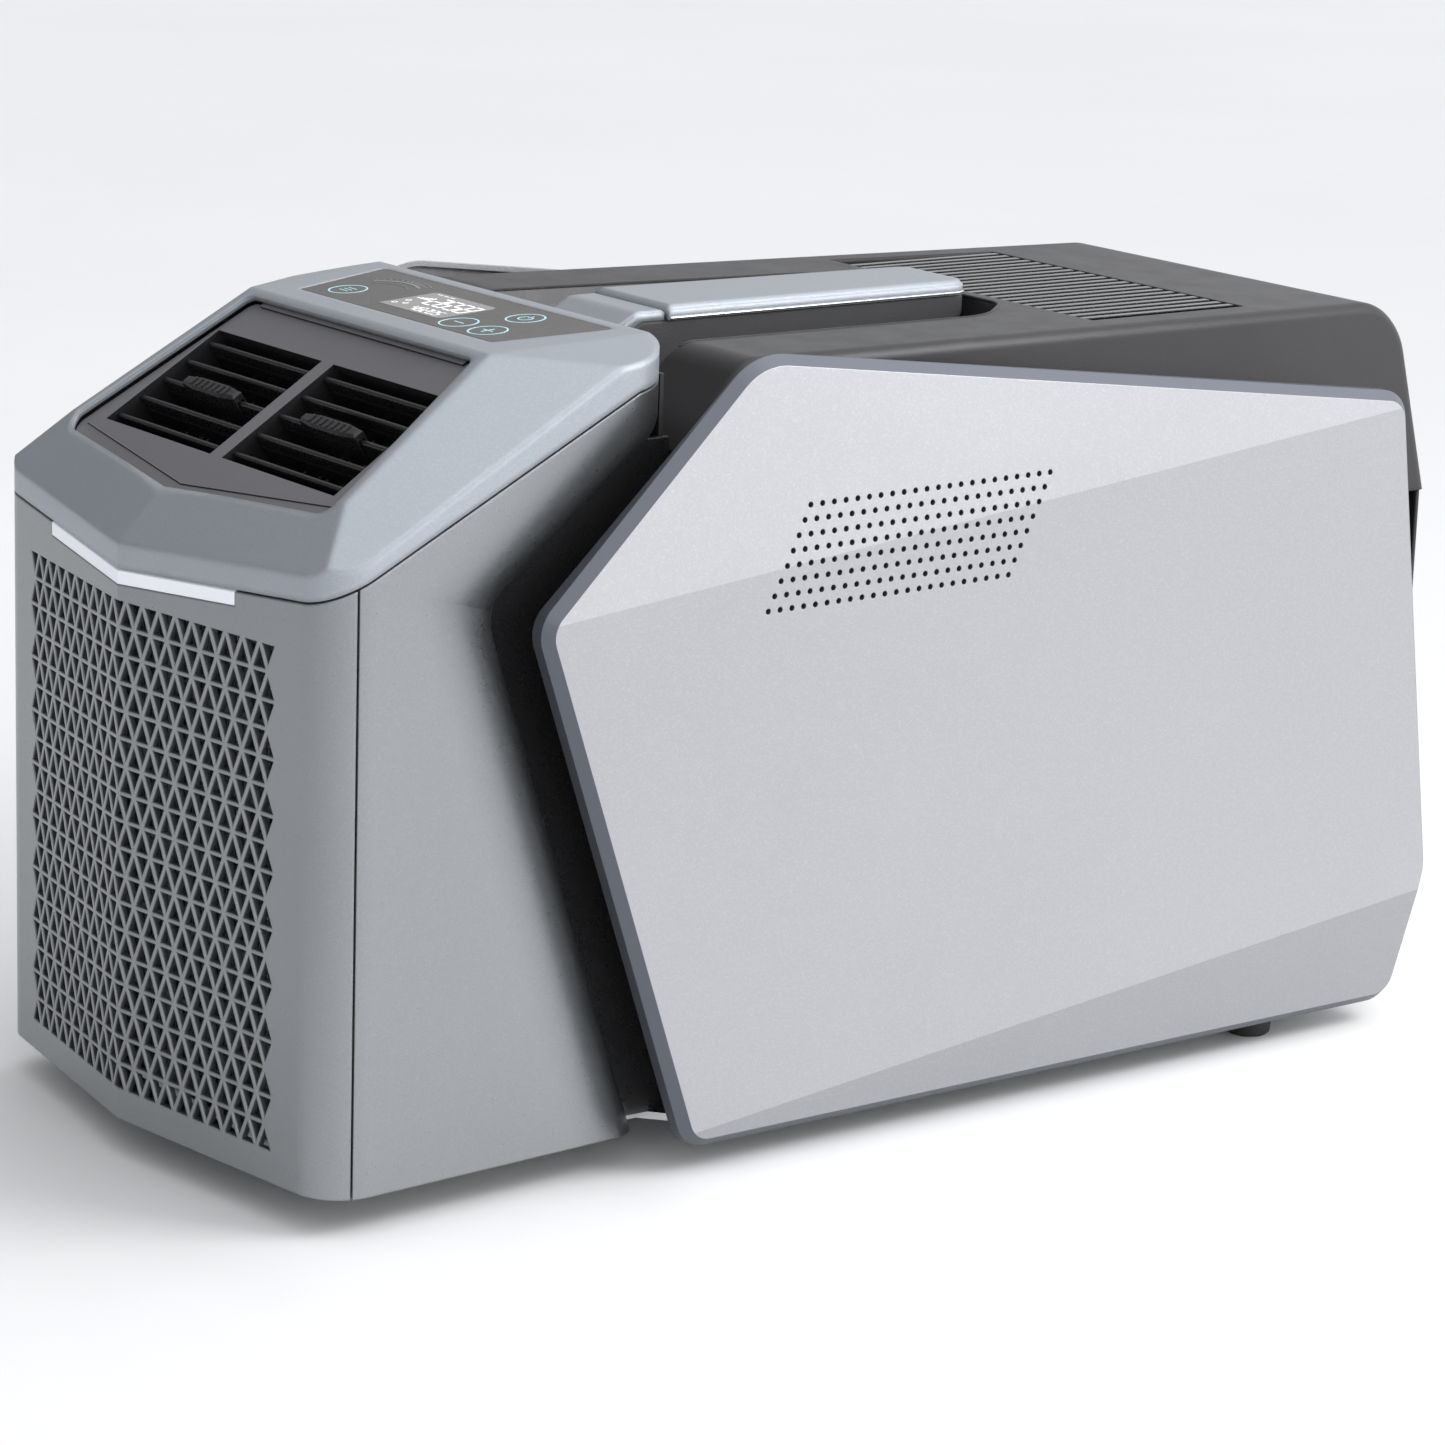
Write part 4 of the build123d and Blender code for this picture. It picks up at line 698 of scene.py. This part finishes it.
def tab_ribs(side):
    """Builder of the grip ribs across the front of one thumb tab."""
    def build(bm):
        rib = rectangle(-0.6 * MM, -2.0 * MM, 0.6 * MM, 2.0 * MM)
        for step in range(-3, 4):
            place = on_vent(side * TAB_CENTRE + RIB_PITCH * step, LOUVER_ROW, TAB_LIFT)
            prism(bm, rib, place, ACROSS, vent_along, vent_up, 0.6 * MM)
    return build


for hand, side in (("right", 1), ("left", -1)):
    mesh_piece(f"tab_ribs_{hand}", tab_ribs(side), f"thumb_tab_{hand}", "blade")


# ---------------------------------------------------------------- filter net behind the grille
filter_low, filter_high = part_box("air_filter")
NET_PITCH = 2.6 * MM
NET_THREAD = 0.55 * MM


UP = Vector((0, 0, 1))
BACK = Vector((0, 1, 0))
FILTER_RIM = 3 * MM


def build_net(bm):
    """Woven threads across and up the filter frame."""
    width = filter_high.x - filter_low.x - 2 * FILTER_RIM
    height = filter_high.z - filter_low.z - 2 * FILTER_RIM
    middle = Vector((0, filter_low.y + 1.4 * MM, (filter_low.z + filter_high.z) / 2))
    for span, length, across, along, behind in ((width, height, ACROSS, UP, 0.0),
                                                (height, width, UP, ACROSS, NET_THREAD)):
        count = int(span / NET_PITCH)
        thread = rectangle(-NET_THREAD / 2, -length / 2, NET_THREAD / 2, length / 2)
        for i in range(count + 1):
            offset = across * (i * span / count - span / 2) + BACK * behind
            prism(bm, thread, middle + offset, across, along, BACK, NET_THREAD)


mesh_piece("filter_net", build_net, "housing", "net")


# ---------------------------------------------------------------- trims on body edges
TROUGH_HALF = 80 * MM
TROUGH_LEAST_Z = 300 * MM
grille_low, grille_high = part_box("top_grille")


def basin_edge(middle, first_normal, second_normal):
    """Edge between the deck's top and the trough round the handle."""
    before_grille = middle.y < grille_low.y - 2 * MM
    inside = abs(middle.x) < TROUGH_HALF and middle.z > TROUGH_LEAST_Z and before_grille
    flat = max(first_normal.z, second_normal.z)
    steep = min(first_normal.z, second_normal.z)
    return inside and flat > 0.9 and 0.0 < steep < 0.6


trim_piece("basin_rim", crease_paths("deck_shell", basin_edge), 0.7 * MM,
           Vector((0, 0, -0.3 * MM)), "housing", "deck")

cover_low, cover_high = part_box("handle_cover")
COVER_REAR_SHARE = 22 / 26      # of the cover's front width
STRIPE_FRONT_DROP = 5.2 * MM    # below the cover's top
STRIPE_REAR_LIFT = 0.9 * MM     # above its underside
STRIPE_CORNER = 6 * MM


def cover_stripe():
    """Bright line low on the cover's sides and round its rear end."""
    front_half = cover_high.x
    rear_half = front_half * COVER_REAR_SHARE
    front_z = cover_high.z - STRIPE_FRONT_DROP
    rear_z = cover_low.z + STRIPE_REAR_LIFT
    cut = STRIPE_CORNER * 0.3
    points = []
    for side in (-1, 1):
        run = [
            Vector((side * front_half, cover_low.y + 1 * MM, front_z)),
            Vector((side * rear_half, cover_high.y - STRIPE_CORNER, rear_z)),
            Vector((side * (rear_half - cut), cover_high.y - cut, rear_z)),
            Vector((side * (rear_half - STRIPE_CORNER), cover_high.y, rear_z)),
        ]
        points.extend(run if side < 0 else run[::-1])
    return points


trim_piece("handle_stripe", [(cover_stripe(), False)], 0.55 * MM, Vector(), "housing", "bright")


# ---------------------------------------------------------------- fasteners
SCREW_RADIUS = 3.6 * MM


def build_cross_head(bm, base, across, along, up, radius, height):
    """Domed screw head with a cross recess, as rings of vertices."""
    steps = 24
    profile = ((1.0, 0.0), (0.98, 0.4), (0.85, 0.75), (0.55, 0.95), (0.42, 1.0))
    rings = []
    for share, lift in profile:
        ring = []
        for i in range(steps):
            angle = 2 * pi * i / steps
            out = across * cos(angle) + along * sin(angle)
            ring.append(bm.verts.new(base + out * (radius * share) + up * (height * lift)))
        rings.append(ring)
    recess = []
    for i in range(steps):
        angle = 2 * pi * i / steps
        reach = 0.42 if i % 6 in (0, 1, 5) else 0.14
        out = across * cos(angle) + along * sin(angle)
        recess.append(bm.verts.new(base + out * (radius * reach * 0.9) + up * (height * 0.45)))
    rings.append(recess)
    for first, second in zip(rings, rings[1:]):
        for i in range(steps):
            j = (i + 1) % steps
            bm.faces.new((first[i], first[j], second[j], second[i]))
    bm.faces.new(recess)
    bm.faces.new(rings[0][::-1])


rear_low, rear_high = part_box("rear_cover")


def build_rear_screws(bm):
    """Three screws down each side of the rear cover."""
    inset = 9 * MM
    for x in (rear_low.x + inset, rear_high.x - inset):
        for z in (rear_low.z + inset, (rear_low.z + rear_high.z) / 2, rear_high.z - inset):
            base = Vector((x, rear_high.y - 0.2 * MM, z))
            build_cross_head(bm, base, ACROSS, UP, BACK, SCREW_RADIUS, 1.4 * MM)


mesh_piece("rear_screws", build_rear_screws, "housing", "enamel")

pan_low, pan_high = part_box("base_pan")


PAN_SCREW_X = 88 * MM
PAN_SCREW_INSET = 20 * MM


def build_pan_screws(bm):
    """Four screws up along each side of the base pan."""
    pitch = (pan_high.y - pan_low.y - 2 * PAN_SCREW_INSET) / 3
    for x in (-PAN_SCREW_X, PAN_SCREW_X):
        for step in range(4):
            base = Vector((x, pan_low.y + PAN_SCREW_INSET + step * pitch, pan_low.z + 0.2 * MM))
            build_cross_head(bm, base, ACROSS, BACK, -UP, SCREW_RADIUS, 1.6 * MM)


mesh_piece("pan_screws", build_pan_screws, "housing", "steel")


# ---------------------------------------------------------------- floor and lights
def make_floor():
    """Large pale floor with a barely uneven, matt surface."""
    bm = bmesh.new()
    bmesh.ops.create_grid(bm, x_segments=8, y_segments=8, size=12)
    mesh = bpy.data.meshes.new("floor")
    bm.to_mesh(mesh)
    bm.free()
    floor = bpy.data.objects.new("floor", mesh)
    scene.collection.objects.link(floor)
    nodes = Nodes("floor_pale")
    slow = nodes.span(nodes.noise(2.0, 2.0), 0.0, 1.0)
    nodes.join(nodes.blend(slow, (0.77, 0.77, 0.775), (0.79, 0.79, 0.795)),
               nodes.shader.inputs["Base Color"])
    nodes.join(nodes.span(nodes.noise(30.0, 3.0), 0.6, 0.75), nodes.shader.inputs["Roughness"])
    mesh.materials.append(nodes.material)


def area_light(name, place, aim, width, height, power):
    """Soft rectangular light at a place, turned to its aim; metres and watts."""
    data = bpy.data.lights.new(name, "AREA")
    data.shape = "RECTANGLE"
    data.size = width
    data.size_y = height
    data.energy = power
    light = bpy.data.objects.new(name, data)
    light.location = place
    light.rotation_euler = (Vector(aim) - Vector(place)).to_track_quat("-Z", "Y").to_euler()
    scene.collection.objects.link(light)


BRIGHT_SIDE = (0.80, 0.50, 0.33)
STUDIO_TINT = (0.97, 0.98, 1.0, 1)
STUDIO_DARKEST = 0.16
STUDIO_BRIGHTEST = 1.85


def make_world():
    """Even studio surroundings, brighter to the right and rear than to the front left."""
    world = bpy.data.worlds.new("studio")
    scene.world = world
    world.use_nodes = True
    tree = world.node_tree
    background = tree.nodes["Background"]
    background.inputs["Color"].default_value = STUDIO_TINT
    place = tree.nodes.new("ShaderNodeTexCoord")
    towards = tree.nodes.new("ShaderNodeVectorMath")
    towards.operation = "DOT_PRODUCT"
    towards.inputs[1].default_value = BRIGHT_SIDE
    ramp = tree.nodes.new("ShaderNodeMapRange")
    ramp.inputs["From Min"].default_value = -0.7
    ramp.inputs["From Max"].default_value = 0.9
    ramp.inputs["To Min"].default_value = STUDIO_DARKEST
    ramp.inputs["To Max"].default_value = STUDIO_BRIGHTEST
    tree.links.new(place.outputs["Generated"], towards.inputs[0])
    tree.links.new(towards.outputs["Value"], ramp.inputs["Value"])
    tree.links.new(ramp.outputs["Result"], background.inputs["Strength"])


make_floor()
make_world()
area_light("key", (0.75, 0.50, 0.85), (0.12, 0.0, 0.27), width=0.6, height=0.4, power=7)
area_light("top", (0.2, 0.6, 2.4), (0, 0, 0.16), width=1.4, height=1.4, power=5)
scene.view_settings.view_transform = "Standard"
scene.view_settings.look = "None"
